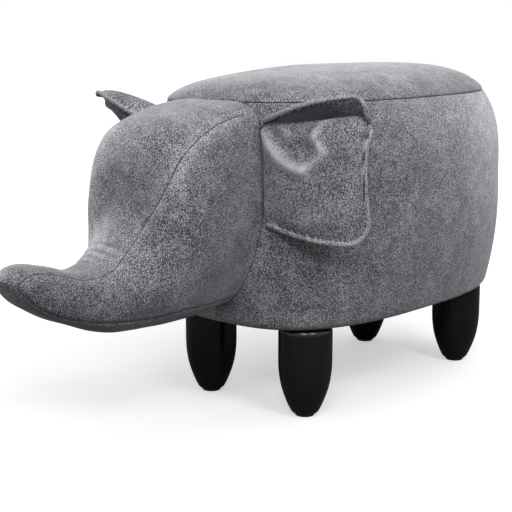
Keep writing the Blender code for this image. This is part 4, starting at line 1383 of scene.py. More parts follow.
@dataclass(frozen=True)
class Wrinkle:
    """A short crease across the head, or a raised roll beside one where its depth is below zero.

    It runs across the middle plane, at a point of that plane given in metres.
    """

    along: float
    up: float
    turn_degrees: float
    middle: float
    reach: float
    depth: float
    width: float
    bend: float = 0.12
    run: float = 0.030

    def share(self, points: np.ndarray) -> np.ndarray:
        """How much of the wrinkle's full depth lies at each point.

        Args:
            points: Points of the head.

        Returns:
            One share for each point.
        """
        turn = math.radians(self.turn_degrees)
        beyond = points[:, 1] - self.along
        above = points[:, 2] - self.up
        over = beyond * math.cos(turn) + above * math.sin(turn)
        over = over + self.bend * np.abs(points[:, 0] - self.middle)
        aside = beyond * math.sin(turn) - above * math.cos(turn)
        sideways = (points[:, 0] - self.middle) / self.reach
        return np.exp(-((over / self.width) ** 2) - sideways**2 - (aside / self.run) ** 2)


# Folds in the crook between forehead and trunk, where the stuffed cover is bent
CROOK_WRINKLES = (
    Wrinkle(-0.2375, 0.2178, 48, -0.010, 0.030, 0.9, 0.0026),
    Wrinkle(-0.2410, 0.2145, 44, -0.012, 0.034, -1.3, 0.0028),
    Wrinkle(-0.2445, 0.2115, 41, -0.014, 0.030, 1.2, 0.0026),
    Wrinkle(-0.2480, 0.2090, 38, -0.014, 0.036, -1.4, 0.0028),
    Wrinkle(-0.2518, 0.2068, 35, -0.018, 0.030, 1.2, 0.0026),
    Wrinkle(-0.2560, 0.2048, 32, -0.018, 0.030, -1.2, 0.0028),
    Wrinkle(-0.2600, 0.2030, 28, -0.018, 0.026, 0.8, 0.0026),
)


@dataclass
class StuffedHead:
    """The head and trunk: two side panels and a long gusset, sewn and stuffed."""

    shelf: FinishShelf
    form: HeadForm = field(default_factory=HeadForm)
    steps_per_station: int = 7
    end_shares: Row = (0.35, 0.62, 0.82)
    panel_steps: int = 18
    pinch: float = 0.72
    groove: float = 0.9 * MM
    groove_width: float = 2.4 * MM
    lump: float = 1.2 * MM
    lump_size: float = 45 * MM
    lump_clearance: float = 20 * MM
    seam_highlight_and_wear: float = 0.9
    seam_highlight_and_wear_width: float = 9 * MM
    seam_highlight_and_wear_share: float = 0.55
    trunk_start: float = 0.20
    trunk_fade: float = 0.10
    trunk_shade: float = 0.35
    trunk_shade_depth: float = 0.9
    crease_shade_and_highlight: float = 1.7
    crease_limits: Pair = (-2.0, 0.8)
    seam_start: float = 1.0
    seam_steps: int = 400
    seam_turn_steps: int = 12
    seam_points: int = 1400
    neck_reach: float = 6.0
    neck_rings: int = 90
    neck_panel_steps: int = 20
    item: Object | None = None

    def build(self) -> None:
        """Sew, fill and dress the head."""
        self.item = self.loft()
        seams = list(self.seam_lines().values())
        points = mesh_points(self.item)
        distance = distance_to(points, np.concatenate(seams))
        depth = self.groove * bell(distance, self.groove_width)
        uneven = np.array([noise.noise(point * (1 / self.lump_size)) for point in map(Vector, points)])
        depth -= uneven * self.lump * climb(distance, 0.0, self.lump_clearance)
        set_points(self.item, points - mesh_normals(self.item) * depth[:, None])
        set_measure(self.item, "seam", distance)
        points, normals = mesh_points(self.item), mesh_normals(self.item)
        crease = sum(wrinkle.share(points) * wrinkle.depth for wrinkle in CROOK_WRINKLES)
        set_points(self.item, points - normals * (crease * MM)[:, None])
        # A paler band beside the upper seams: painted highlight together with wear
        upper = np.concatenate([line[: int(len(line) * self.seam_highlight_and_wear_share)] for line in seams])
        lit_and_worn = self.seam_highlight_and_wear * bell(distance_to(points, upper), self.seam_highlight_and_wear_width)
        # The trunk in front of the forehead is painted darker and lower in contrast: painted shade
        trunk_painted_shade = climb(-points[:, 1], self.trunk_start, self.trunk_fade) * self.trunk_shade
        # Crease hollows are painted darker and raised rolls paler: painted shade and painted highlight
        rubbed_and_painted_light = self.crease_shade_and_highlight * np.clip(crease, *self.crease_limits)
        set_measure(self.item, "wear_and_painted_light", lit_and_worn - trunk_painted_shade - rubbed_and_painted_light)
        set_measure(self.item, "hollow", trunk_painted_shade * self.trunk_shade_depth)
        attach(self.item, Rider.STOOL.value)
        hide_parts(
            "head_panel_left", "head_panel_right", "head_gusset", "head_filling", "trunk_filling"
        )
        log.info("%s: %d faces", self.item.name, len(self.item.data.polygons))

    def loft(self) -> Object:
        """Stretch the cover over the sections from the neck to the trunk's tip, and smooth it.

        Returns:
            The closed form.
        """
        last = len(HEAD_STATIONS) - 1
        places = list(np.linspace(0.0, last, last * self.steps_per_station + 1))
        places += [last + share for share in self.end_shares]
        rings = [self.form.ring(place, self.panel_steps, self.pinch) for place in places]
        columns = len(rings[0])
        tip = self.form.middle_point(self.form.tip_reach, self.form.tip_height)
        points = np.concatenate(rings + [tip[None, :]])
        faces = grid_faces(len(rings), columns, wrap=True)
        faces.append(tuple(range(columns)))
        start = (len(rings) - 1) * columns
        for column in range(columns):
            faces.append((start + column, start + (column + 1) % columns, len(points) - 1))
        item = mesh_object("head_and_trunk", points, faces, self.shelf.get(NubuckFinish()))
        subdivide(item)
        return item

    def seam_lines(self) -> dict[str, np.ndarray]:
        """Points of the left and the right panel's seam, from the neck out and back under the chin."""
        return {"left": self.seam_line(1), "right": self.seam_line(-1)}

    def seam_line(self, side: int) -> np.ndarray:
        """Points of one panel's seam.

        Args:
            side: 1 for the left panel, -1 for the right one.

        Returns:
            Closely spaced points from the neck round the trunk's tip and back.
        """
        end = self.form.panel_end
        upper = []
        lower = []
        for place in np.linspace(self.seam_start, end, self.seam_steps):
            high, low = self.form.seam_angles(place, side)
            upper.append(self.form.section(place, np.array([high]))[0])
            lower.append(self.form.section(place, np.array([-low]))[0])
        high, low = self.form.seam_angles(end, side)
        turn = self.form.section(end, np.linspace(high, -low, self.seam_turn_steps)[1:-1])
        line = np.concatenate([np.array(upper), turn, np.array(lower)[::-1]])
        return resample(line, np.linspace(0.0, 1.0, self.seam_points)) * np.array([side, 1.0, 1.0])

    def neck_line(self, body: BVHTree) -> np.ndarray:
        """Find where the head's leather meets the body.

        Args:
            body: Surfaces of the body.

        Returns:
            A closed line round the neck.
        """
        places = np.linspace(0.0, self.neck_reach, self.neck_rings)
        rings = [self.form.ring(place, self.neck_panel_steps, 0.0) for place in places]
        line = []
        for column in range(len(rings[0])):
            meeting = None
            for lower, upper in zip(rings, rings[1:]):
                start = Vector(lower[column])
                run = Vector(upper[column]) - start
                if run.length < SHORTEST:
                    continue
                place, _, _, _ = body.ray_cast(start, run.normalized(), run.length)
                if place is not None:
                    meeting = place
            if meeting is not None:
                line.append(np.array(meeting))
        line.append(line[0])
        return np.array(line)


@dataclass(frozen=True)
class Fold:
    """A soft fold that stands on an ear's front face, in millimetres out and up on the flat ear."""

    line: tuple[Pair, ...]
    crest: float
    width: float
    wear_and_painted_light: float

    def share(self, place: np.ndarray) -> np.ndarray:
        """How much of the fold's full height stands at each place.

        Args:
            place: Grid of places out and up in millimetres.

        Returns:
            One share for each point of the grid.
        """
        nearest = np.full(place.shape[:2], np.inf)
        for start, end in zip(np.array(self.line), np.array(self.line)[1:]):
            run = end - start
            along = climb((place - start) @ run, 0.0, run @ run)
            gap = np.linalg.norm(place - start - along[..., None] * run, axis=-1)
            nearest = np.minimum(nearest, gap)
        return bell(nearest, self.width)


@dataclass(frozen=True)
class Puff:
    """A soft swelling of an ear's front face, or a hollow where its height is below zero."""

    middle: Pair
    reach: Pair
    height: float

    def share(self, place: np.ndarray) -> np.ndarray:
        """How much of the puff's full height stands at each place."""
        return np.exp(-(((place - np.array(self.middle)) / np.array(self.reach)) ** 2).sum(axis=-1))


# Each fold's last number makes its crest paler: painted highlight together with some wear
EAR_FOLDS = (
    Fold(((2, 99), (10, 85), (23, 72), (42, 62), (51, 60)), 5.2, 5.5, 4.6),
    Fold(((51, 60), (65, 68), (74, 77), (69, 85), (64, 94)), 4.6, 4.5, 3.0),
    Fold(((25, 104), (35, 92), (50, 74)), 2.0, 3.5, 1.0),
    Fold(((64, 94), (70, 105), (81, 111), (92, 115), (107, 116)), 3.6, 4.0, 2.4),
    Fold(((47, 3), (83, 20)), 2.0, 9.0, 0.6),
    Fold(((2, 24), (9, 14)), 1.5, 3.0, 0.8),
)
EAR_PUFFS = (
    Puff((96, 96), (24, 22), 5.5),
    Puff((40, 82), (15, 12), -4.5),
    Puff((16, 94), (9, 8), -2.5),
    Puff((30, 42), (26, 20), 1.5),
    Puff((92, 60), (14, 20), -1.5),
)


@dataclass(frozen=True)
class EarPlaces:
    """Where each point of an ear's middle sheet lies, as grids of numbers.

    These are its place out and up on the flat ear in millimetres, its height above the crease, and
    its distance from the sewn edge, from the hem and along it. The distance from the hem is larger
    where the hem is narrower.
    """

    flat: np.ndarray
    above: np.ndarray
    root: np.ndarray
    distance: np.ndarray
    travelled: np.ndarray


@dataclass
class SoftEar:
    """One ear: two leather faces, thin padding and a rolled hem.

    The hem's profile is in millimetres, and so is each pair of a fade's start and width.
    """

    shelf: FinishShelf
    form: EarForm
    name: str
    rider: Rider
    columns: int = 66
    rows: int = 66
    hem_steps: int = 300
    hem_shares: Row = (0, 0.2, 0.7, 1.5, 2.6, 3.8, 5.0, 6.0, 7.0, 8.5, 12, 18, 26, 60)
    hem_halves: Row = (0, 1.0, 1.75, 2.4, 2.75, 2.55, 1.9, 1.3, 1.2, 1.7, 2.7, 3.6, 4.1, 4.2)
    hem_spans: Row = (0.0, 0.92, 1.08, 1.92, 2.08, 3.0)
    hem_widths: Row = (1.0, 1.0, 0.55, 0.55, 0.8, 0.8)
    hem_stitch: float = 6.3 * MM
    hem_fade: Pair = (5.0, 1.5)
    # The hem is painted paler: painted highlight together with some wear
    hem_wear_and_highlight: float = 1.4
    root_half: Pair = (0.45, 0.55)
    root_half_reach: float = 14 * MM
    pucker: float = 0.9 * MM
    pucker_behind: float = 0.6
    pucker_pitch: float = 4.3 * MM
    pucker_swing: float = 2.0
    pucker_swing_size: float = 9 * MM
    # Pucker crests are painted paler and troughs darker: painted light and shade
    pucker_light_and_shade: float = 3.2
    gather_shift: float = 0.5 * MM
    gather_width: float = 2.6 * MM
    padding_fade: Pair = (6.5, 8.0)
    padding_least: float = 0.05
    crease_fade: float = 5 * MM
    # Painted shade: in the pocket under the brim, in the dents and along the sewn edge
    pocket_rise: Pair = (-4.0, 6.0)
    pocket_hem: Pair = (6.0, 2.0)
    pocket_end: Pair = (80.0, 25.0)
    pocket_end_loss: float = 0.4
    puff_shade: float = 0.06
    root_shade: float = 0.7
    root_shade_width: float = 2.2 * MM
    root_clearance: float = 5 * MM
    root_wear_and_light: float = 0.3
    root_wear_and_light_reach: float = 6 * MM
    stitch_faint: float = 0.45 * MM
    stitch_end: float = 3 * MM
    stitch_end_gain: float = 10.0
    # Lift of the whole ear's tone: painted light, and painted shade where below zero
    rubbed_and_painted_light: float = 0.3
    item: Object | None = None

    def measure(self, grid: np.ndarray, measures: np.ndarray) -> EarPlaces:
        """Measure where the points of the middle sheet lie.

        Args:
            grid: Points of the sheet.
            measures: Their places out and up on the flat ear and their distance above the crease.

        Returns:
            All the measures.
        """
        # The hem runs along the lower edge, up the outer edge and back along the brim
        steps = np.linspace(0.0, 1.0, self.hem_steps + 1)[:-1]
        edges = (grid[:, 0], grid[-1], grid[::-1, -1])
        outline = np.concatenate([resample(edge, steps) for edge in edges])
        length = np.linalg.norm(np.diff(outline, axis=0), axis=1).sum()
        gaps = np.linalg.norm(grid.reshape(-1, 1, 3) - outline[None, :, :], axis=2)
        nearest = gaps.argmin(axis=1).reshape(grid.shape[:2])
        distance = gaps.min(axis=1).reshape(grid.shape[:2])
        return EarPlaces(
            flat=measures[..., :2] / MM,
            above=measures[..., 2],
            root=np.linalg.norm(grid - grid[:1], axis=2),
            distance=distance / np.interp(nearest / len(steps), self.hem_spans, self.hem_widths),
            travelled=nearest / len(outline) * length,
        )

    def sewn(self, front: np.ndarray, back: np.ndarray) -> tuple[np.ndarray, Faces]:
        """Join the two leather faces round their rim.

        Args:
            front: Grid of the front face.
            back: Grid of the back face.

        Returns:
            Points and faces of the closed ear.
        """
        columns, rows = front.shape[:2]
        count = columns * rows
        faces = grid_faces(columns, rows, wrap=False) + grid_faces(columns, rows, wrap=False, start=count)
        rim = [index * rows for index in range(columns)]
        rim += [(columns - 1) * rows + index for index in range(1, rows)]
        rim += [index * rows + rows - 1 for index in range(columns - 2, -1, -1)]
        rim += [index for index in range(rows - 2, 0, -1)]
        for here, after in zip(rim, rim[1:] + rim[:1]):
            faces.append((here, after, count + after, count + here))
        return np.concatenate([front.reshape(-1, 3), back.reshape(-1, 3)]), faces

    def build(self) -> None:
        """Sew, fill and dress the ear."""
        grid, measures = self.form.sheet(self.columns, self.rows)
        normals = np.cross(np.gradient(grid, axis=0), np.gradient(grid, axis=1)) * self.form.side
        normals /= np.maximum(np.linalg.norm(normals, axis=2, keepdims=True), TINY)
        at = self.measure(grid, measures)
        from_hem = at.distance / MM
        half = np.interp(from_hem, self.hem_shares, self.hem_halves) * MM
        half *= self.root_half[0] + self.root_half[1] * climb(at.root, 0.0, self.root_half_reach)
        swing = self.pucker_swing * np.sin(at.travelled / self.pucker_swing_size)
        wave = np.sin(math.tau * at.travelled / self.pucker_pitch + swing)
        gathered = bell(at.distance - self.hem_stitch - self.gather_shift, self.gather_width)
        inside = climb(from_hem, *self.padding_fade) * climb(-at.above, 0.0, self.crease_fade)
        folds = inside * sum(fold.crest * fold.share(at.flat) for fold in EAR_FOLDS)
        puffs = inside * sum(puff.height * puff.share(at.flat) for puff in EAR_PUFFS)
        ripple = wave * gathered * self.pucker
        front = grid + normals * (half + ripple + (folds + puffs) * MM)[:, :, None]
        back = grid - normals * (half + ripple * self.pucker_behind)[:, :, None]

        # Painted highlight with some wear on the hem and the fold crests, painted light and shade
        # alternating along the puckers, and painted shade in the pocket under the brim, in the dents and
        # along the sewn edge
        wear_and_painted_light = self.rubbed_and_painted_light + inside * sum(fold.wear_and_painted_light * fold.share(at.flat) for fold in EAR_FOLDS)
        hem = (1.0 - climb(from_hem, *self.hem_fade)) * self.hem_wear_and_highlight + gathered * wave * self.pucker_light_and_shade
        wear_and_painted_light = wear_and_painted_light + hem * np.maximum(climb(at.root, 0.0, self.root_wear_and_light_reach), self.root_wear_and_light)
        # Painted shade in the pocket under the brim, in the dents and a dark line along the sewn edge
        pocket = climb(at.above / MM, *self.pocket_rise) * climb(from_hem, *self.pocket_hem)
        pocket = pocket * (1.0 - self.pocket_end_loss * climb(at.flat[..., 0], *self.pocket_end))
        dents = inside * self.puff_shade * np.minimum(puffs, 0.0)
        hollow = pocket - dents / np.maximum(inside, self.padding_least)
        hollow = hollow * climb(at.root, 0.0, self.root_clearance)
        hollow = hollow + self.root_shade * bell(at.root, self.root_shade_width)
        stitch = np.abs(at.distance - self.hem_stitch) + self.stitch_faint
        stitch = stitch + self.stitch_end_gain * np.maximum(self.stitch_end - at.root, 0.0)

        points, faces = self.sewn(front, back)
        self.item = mesh_object(self.name, points, faces, self.shelf.get(NubuckFinish()))
        # The mesh has lost its doubled points, so each one finds its measures again by its place
        tree = point_tree(points)
        matched = [tree.find(vertex.co)[1] for vertex in self.item.data.vertices]
        for name, ahead, behind in (
            ("wear_and_painted_light", wear_and_painted_light, hem),
            ("hollow", hollow, np.zeros_like(hollow)),
            ("seam", stitch, stitch),
        ):
            set_measure(self.item, name, np.concatenate([ahead.ravel(), behind.ravel()])[matched])
        set_measure(self.item, "neck", np.full(len(matched), FAR))
        subdivide(self.item)
        side_name = self.rider.value.split("_")[1]
        start, end = self.form.hinge()
        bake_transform(self.item)
        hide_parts(*(f"ear_{layer}_{side_name}" for layer in ("front", "back", "pad")))
        log.info("%s: %d faces", self.item.name, len(self.item.data.polygons))


@dataclass
class DustCover:
    """The black cloth under the base, its edge turned in, and the staples that hold it.

    The rings' widths are in millimetres inside the cloth's edge.
    """

    shelf: FinishShelf
    legs: "TurnedLegs"
    form: BodyForm = field(default_factory=BodyForm)
    inset: float = 0.034
    hem: float = 0.010
    top: float = 0.1046
    thickness: float = 0.6 * MM
    turned_in: float = 0.5 * MM
    edge_fade: float = 0.6 * MM
    puckers: float = 0.25 * MM
    pucker_reach: float = 14 * MM
    turns: int = 200
    widths: Row = (
        *(0.0, 0.3, 0.7, 2.5, 6.0, 9.8, 10.2, 10.7),
        *(13, 18, 26, 38, 52, 66, 82, 98, 110),
    )
    staple_count: int = 34
    staple_inset: float = 0.040
    staple_rounding: float = 0.16 * MM
    staple_aim: float = 0.01
    staple_sink_share: float = 0.4
    crown: Triple = (9 * MM, 1.0 * MM, 0.5 * MM)
    clear_radius: float = 0.033
    clear_fade: float = 8 * MM
    bolt_hole: float = 4.6 * MM
    bolt_hole_sides: int = 32
    drill_length: float = 20 * MM

    def clear(self, points: np.ndarray) -> np.ndarray:
        """How far each point is free of the legs' tops: 0 under a leg, 1 beside it.

        Args:
            points: Points of the cloth.

        Returns:
            One share for each point.
        """
        places = np.array(list(self.legs.places().values()))
        gaps = [np.linalg.norm(points[:, :2] - place, axis=1) for place in places]
        return climb(np.min(gaps, axis=0), self.clear_radius, self.clear_fade)

    def under(self, angles: np.ndarray, inset: float) -> np.ndarray:
        """Points of the cloth's underside at one inset.

        Args:
            angles: Angles round the body.
            inset: Distance inside the body's widest line.

        Returns:
            One point for each angle.
        """
        points = self.form.ring(inset, self.form.rim_height, angles)
        within = inset - self.inset
        rise = min(within / self.edge_fade, 1.0)
        fall = min(max((self.hem + self.edge_fade - within) / self.edge_fade, 0.0), 1.0)
        wave = 0.5 + 0.5 * np.cos(angles * self.staple_count)
        near = math.exp(-(((within - self.hem) / self.pucker_reach) ** 2))
        slack = self.puckers * wave * near * min(within / self.hem, 1.0)
        depth = (self.turned_in * (rise * fall) + slack) * self.clear(points)
        points[:, 2] = self.top - self.thickness - depth
        return points

    def cut(self) -> Object:
        """Cut and hem the cloth, with a hole for each leg's bolt.

        Returns:
            The cloth.
        """
        lower = [self.under(round_angles(self.turns), self.inset + width * MM) for width in self.widths]
        upper = [ring * (1.0, 1.0, 0.0) + (0.0, 0.0, self.top) for ring in lower]
        rings = upper[::-1] + lower
        faces = grid_faces(len(rings), self.turns, wrap=True)
        faces += closing_strips(0, self.turns) + closing_strips((len(rings) - 1) * self.turns, self.turns)
        cloth = mesh_object("dust_cover_cloth", np.concatenate(rings), faces, self.shelf.get(SPUN_CLOTH))
        drills = []
        for place in self.legs.places().values():
            drill = basic_shape(
                bpy.ops.mesh.primitive_cylinder_add,
                vertices=self.bolt_hole_sides,
                radius=self.bolt_hole,
                depth=self.drill_length,
                location=(*place, self.top),
            )
            drills.append(drill)
            step = cloth.modifiers.new("bolt_hole", "BOOLEAN")
            step.operation = "DIFFERENCE"
            step.solver = "EXACT"
            step.object = drill
        apply_modifiers(cloth)
        for drill in drills:
            bpy.data.objects.remove(drill, do_unlink=True)
        return cloth

    def build(self) -> None:
        """Cut, hem and staple the cloth."""
        cloth = self.cut()
        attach(cloth, Rider.STOOL.value)
        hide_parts("dust_cover")
        staples = self.staple()
        cut_inset = self.inset - self.hem
        cut_line = self.form.ring(cut_inset, self.form.rim_height, round_angles(self.turns))[:, :2]

    def staple(self) -> Object:
        """Model one staple and drive a ring of them through the cloth's turned edge.

        Returns:
            All the staples as one piece.
        """
        pattern = basic_shape(bpy.ops.mesh.primitive_cube_add, size=1.0, scale=self.crown)
        bpy.ops.object.mode_set(mode="EDIT")
        bpy.ops.mesh.select_all(action="SELECT")
        bpy.ops.mesh.bevel(offset=self.staple_rounding, segments=2)
        bpy.ops.object.mode_set(mode="OBJECT")
        angles = round_angles(self.staple_count, offset=0.5)
        middles = self.under(angles, self.staple_inset)
        ahead = self.under(angles + self.staple_aim, self.staple_inset)
        free = self.clear(middles) >= 1.0
        up = np.array([0.0, 0.0, 1.0])
        frames = []
        for middle, front in zip(middles[free], ahead[free]):
            along = (front - middle) * np.array([1.0, 1.0, 0.0])
            along /= np.linalg.norm(along)
            sunk = middle - up * self.crown[2] * self.staple_sink_share
            frames.append((np.stack([along, np.cross(up, along), up]), sunk))
        shapes = place_copies(modelled(pattern), frames)
        item = mesh_object("dust_cover_staples", *shapes, self.shelf.get(ZINC_STEEL))
        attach(item, Rider.STOOL.value)
        log.info("staples: %d", len(frames))
        return item


# Turned and small parts


@dataclass
class TurnedLegs:
    """The four turned and lacquered legs.

    The profile gives shares of the radius and of the length, from the foot up.
    """

    shelf: FinishShelf
    radius: float = 0.0305
    foot: float = 0.0033
    length: float = 0.1003
    sides: int = 96
    smooth_degrees: float = 50.0
    spread_x: float = 0.073
    spread_y: float = 0.1545
    middle_y: float = 0.138
    shares: tuple[Pair, ...] = (
        *((0.40, 0.0), (0.445, 0.003), (0.475, 0.012), (0.505, 0.020), (0.53, 0.030), (0.58, 0.060)),
        *((0.63, 0.090), (0.677, 0.123), (0.72, 0.156), (0.761, 0.189), (0.80, 0.222), (0.836, 0.255)),
        *((0.87, 0.289), (0.897, 0.322), (0.92, 0.356), (0.942, 0.392), (0.96, 0.430), (0.974, 0.465)),
        *((0.985, 0.500), (0.995, 0.550), (1.0, 0.605), (1.0, 0.780), (1.0, 0.930), (0.996, 0.955)),
        *((0.985, 0.972), (0.967, 0.986), (0.94, 0.996), (0.90, 1.0)),
    )

    def places(self) -> dict[str, Pair]:
        """Place of each leg's axis on the floor, by the corner's name.

        Returns:
            Its x and y for each corner, the front legs first.
        """
        found = {}
        for end_name, end in (("front", -1), ("rear", 1)):
            for side_name, side in (("left", 1), ("right", -1)):
                place = (side * self.spread_x, self.middle_y + end * self.spread_y)
                found[f"{end_name}_{side_name}"] = place
        return found

    def turn(self) -> Object:
        """Turn one leg on the origin's axis, from its foot up.

        Returns:
            The leg.
        """
        width, height = self.shares[0]
        leg = basic_shape(
            bpy.ops.mesh.primitive_circle_add,
            vertices=self.sides,
            radius=self.radius * width,
            fill_type="NGON",
            location=(0.0, 0.0, self.foot + self.length * height),
        )
        bpy.ops.object.mode_set(mode="EDIT")
        bpy.ops.mesh.select_all(action="SELECT")
        for (width, height), (wider, higher) in zip(self.shares, self.shares[1:]):
            climb = self.length * (higher - height)
            bpy.ops.mesh.extrude_region_move(TRANSFORM_OT_translate={"value": (0.0, 0.0, climb)})
            grow = wider / width
            middle = (0.0, 0.0, self.foot + self.length * higher)
            bpy.ops.transform.resize(value=(grow, grow, 1.0), center_override=middle)
        bpy.ops.mesh.select_all(action="SELECT")
        bpy.ops.mesh.normals_make_consistent(inside=False)
        bpy.ops.object.mode_set(mode="OBJECT")
        bpy.ops.object.shade_smooth_by_angle(angle=math.radians(self.smooth_degrees))
        return leg

    def build(self) -> None:
        """Turn one leg and stand a copy at each of the four places."""
        pattern = self.turn()
        for corner, place in self.places().items():
            leg = pattern.copy()
            leg.data = pattern.data.copy()
            leg.name = f"turned_leg_{corner}"
            bpy.context.scene.collection.objects.link(leg)
            leg.data.transform(Matrix.Translation(Vector((*place, 0.0))))
            leg.data.materials.clear()
            leg.data.materials.append(self.shelf.get(SATIN_LACQUER))
            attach(leg, Rider.STOOL.value)
            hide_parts(f"leg_{corner}")
            log.info("%s: %d faces", leg.name, len(leg.data.polygons))
        bpy.data.objects.remove(pattern, do_unlink=True)


@dataclass
class HiddenFrame:
    """The pieces that the part carries over: boards, rails, blocks, fasteners and glides."""

    shelf: FinishShelf

    def build(self) -> None:
        """Give each carried-over node its finish, by its name."""
        finishes = (
            (MOULDED_NYLON, ("glide",)),
            (SANDED_PLYWOOD, ("base_board", "seat_board")),
            (SAWN_PINE, ("rail", "panel", "block")),
            (CUT_FOAM, ("seat_foam", "foam_wrap")),
            (LOOSE_FIBRE, ("head_filling", "trunk_filling", "ear_pad")),
            (ZINC_STEEL, ("screw", "leg_bolt", "tee_nut")),
            (SPUN_CLOTH, ("dust_cover",)),
        )
        dressed = 0
        for name, node in frame["nodes"].items():
            for finish, starts in finishes:
                if name.startswith(starts):
                    node.data.materials.clear()
                    node.data.materials.append(self.shelf.get(finish))
                    dressed += 1
        log.info("carried-over pieces dressed: %d", dressed)


@dataclass(frozen=True)
class SoftLight:
    """A square soft light, and the covers that it falls on where it is kept to some."""

    name: str
    place: Triple
    target: Triple
    size: float
    power: float
    covers: tuple[str, ...] = ()

    def hang(self) -> None:
        """Hang the light, and keep it to its covers as a narrow flagged strip would be."""
        lamp = bpy.data.lights.new(self.name, "AREA")
        lamp.shape = "SQUARE"
        lamp.size = self.size
        lamp.energy = self.power
        aim = Vector(self.target) - Vector(self.place)
        turned = aim.to_track_quat("-Z", "Y").to_matrix().to_4x4()
        item = stand(self.name, lamp, Matrix.Translation(Vector(self.place)) @ turned)
        if self.covers:
            lit = bpy.data.collections.new(f"{self.name}_covers")
            for cover in bpy.context.scene.objects:
                if cover.type == "MESH" and cover.name in self.covers:
                    lit.objects.link(cover)
            item.light_linking.receiver_collection = lit


MIDDLE = (0.0, 0.0, 0.25)
RIMMED = ("side_cushion", "head_and_trunk")
SOFT_LIGHTS = (
    SoftLight("key_softbox", (1.23, -2.13, 1.97), MIDDLE, 0.7, 19.0),
    SoftLight("side_softbox", (2.37, -0.64, 1.97), MIDDLE, 0.9, 30.0),
    SoftLight("small_softbox", (1.2, -1.4, 1.3), (0.06, 0.0, 0.1), 0.25, 5.0),
    SoftLight("front_fill", (-1.2, -2.5, 0.45), MIDDLE, 1.2, 3.0),
    SoftLight("seat_back_light", (-1.8, 2.1, 1.0), (0.0, 0.1, 0.35), 2.0, 19.0, ("seat_cushion",)),
    SoftLight("rim_strip_left", (-2.0, -0.5, 1.0), MIDDLE, 1.4, 26.0, RIMMED),
    SoftLight("rim_strip_right", (0.5, 2.35, 0.70), MIDDLE, 1.4, 19.0, RIMMED),
)


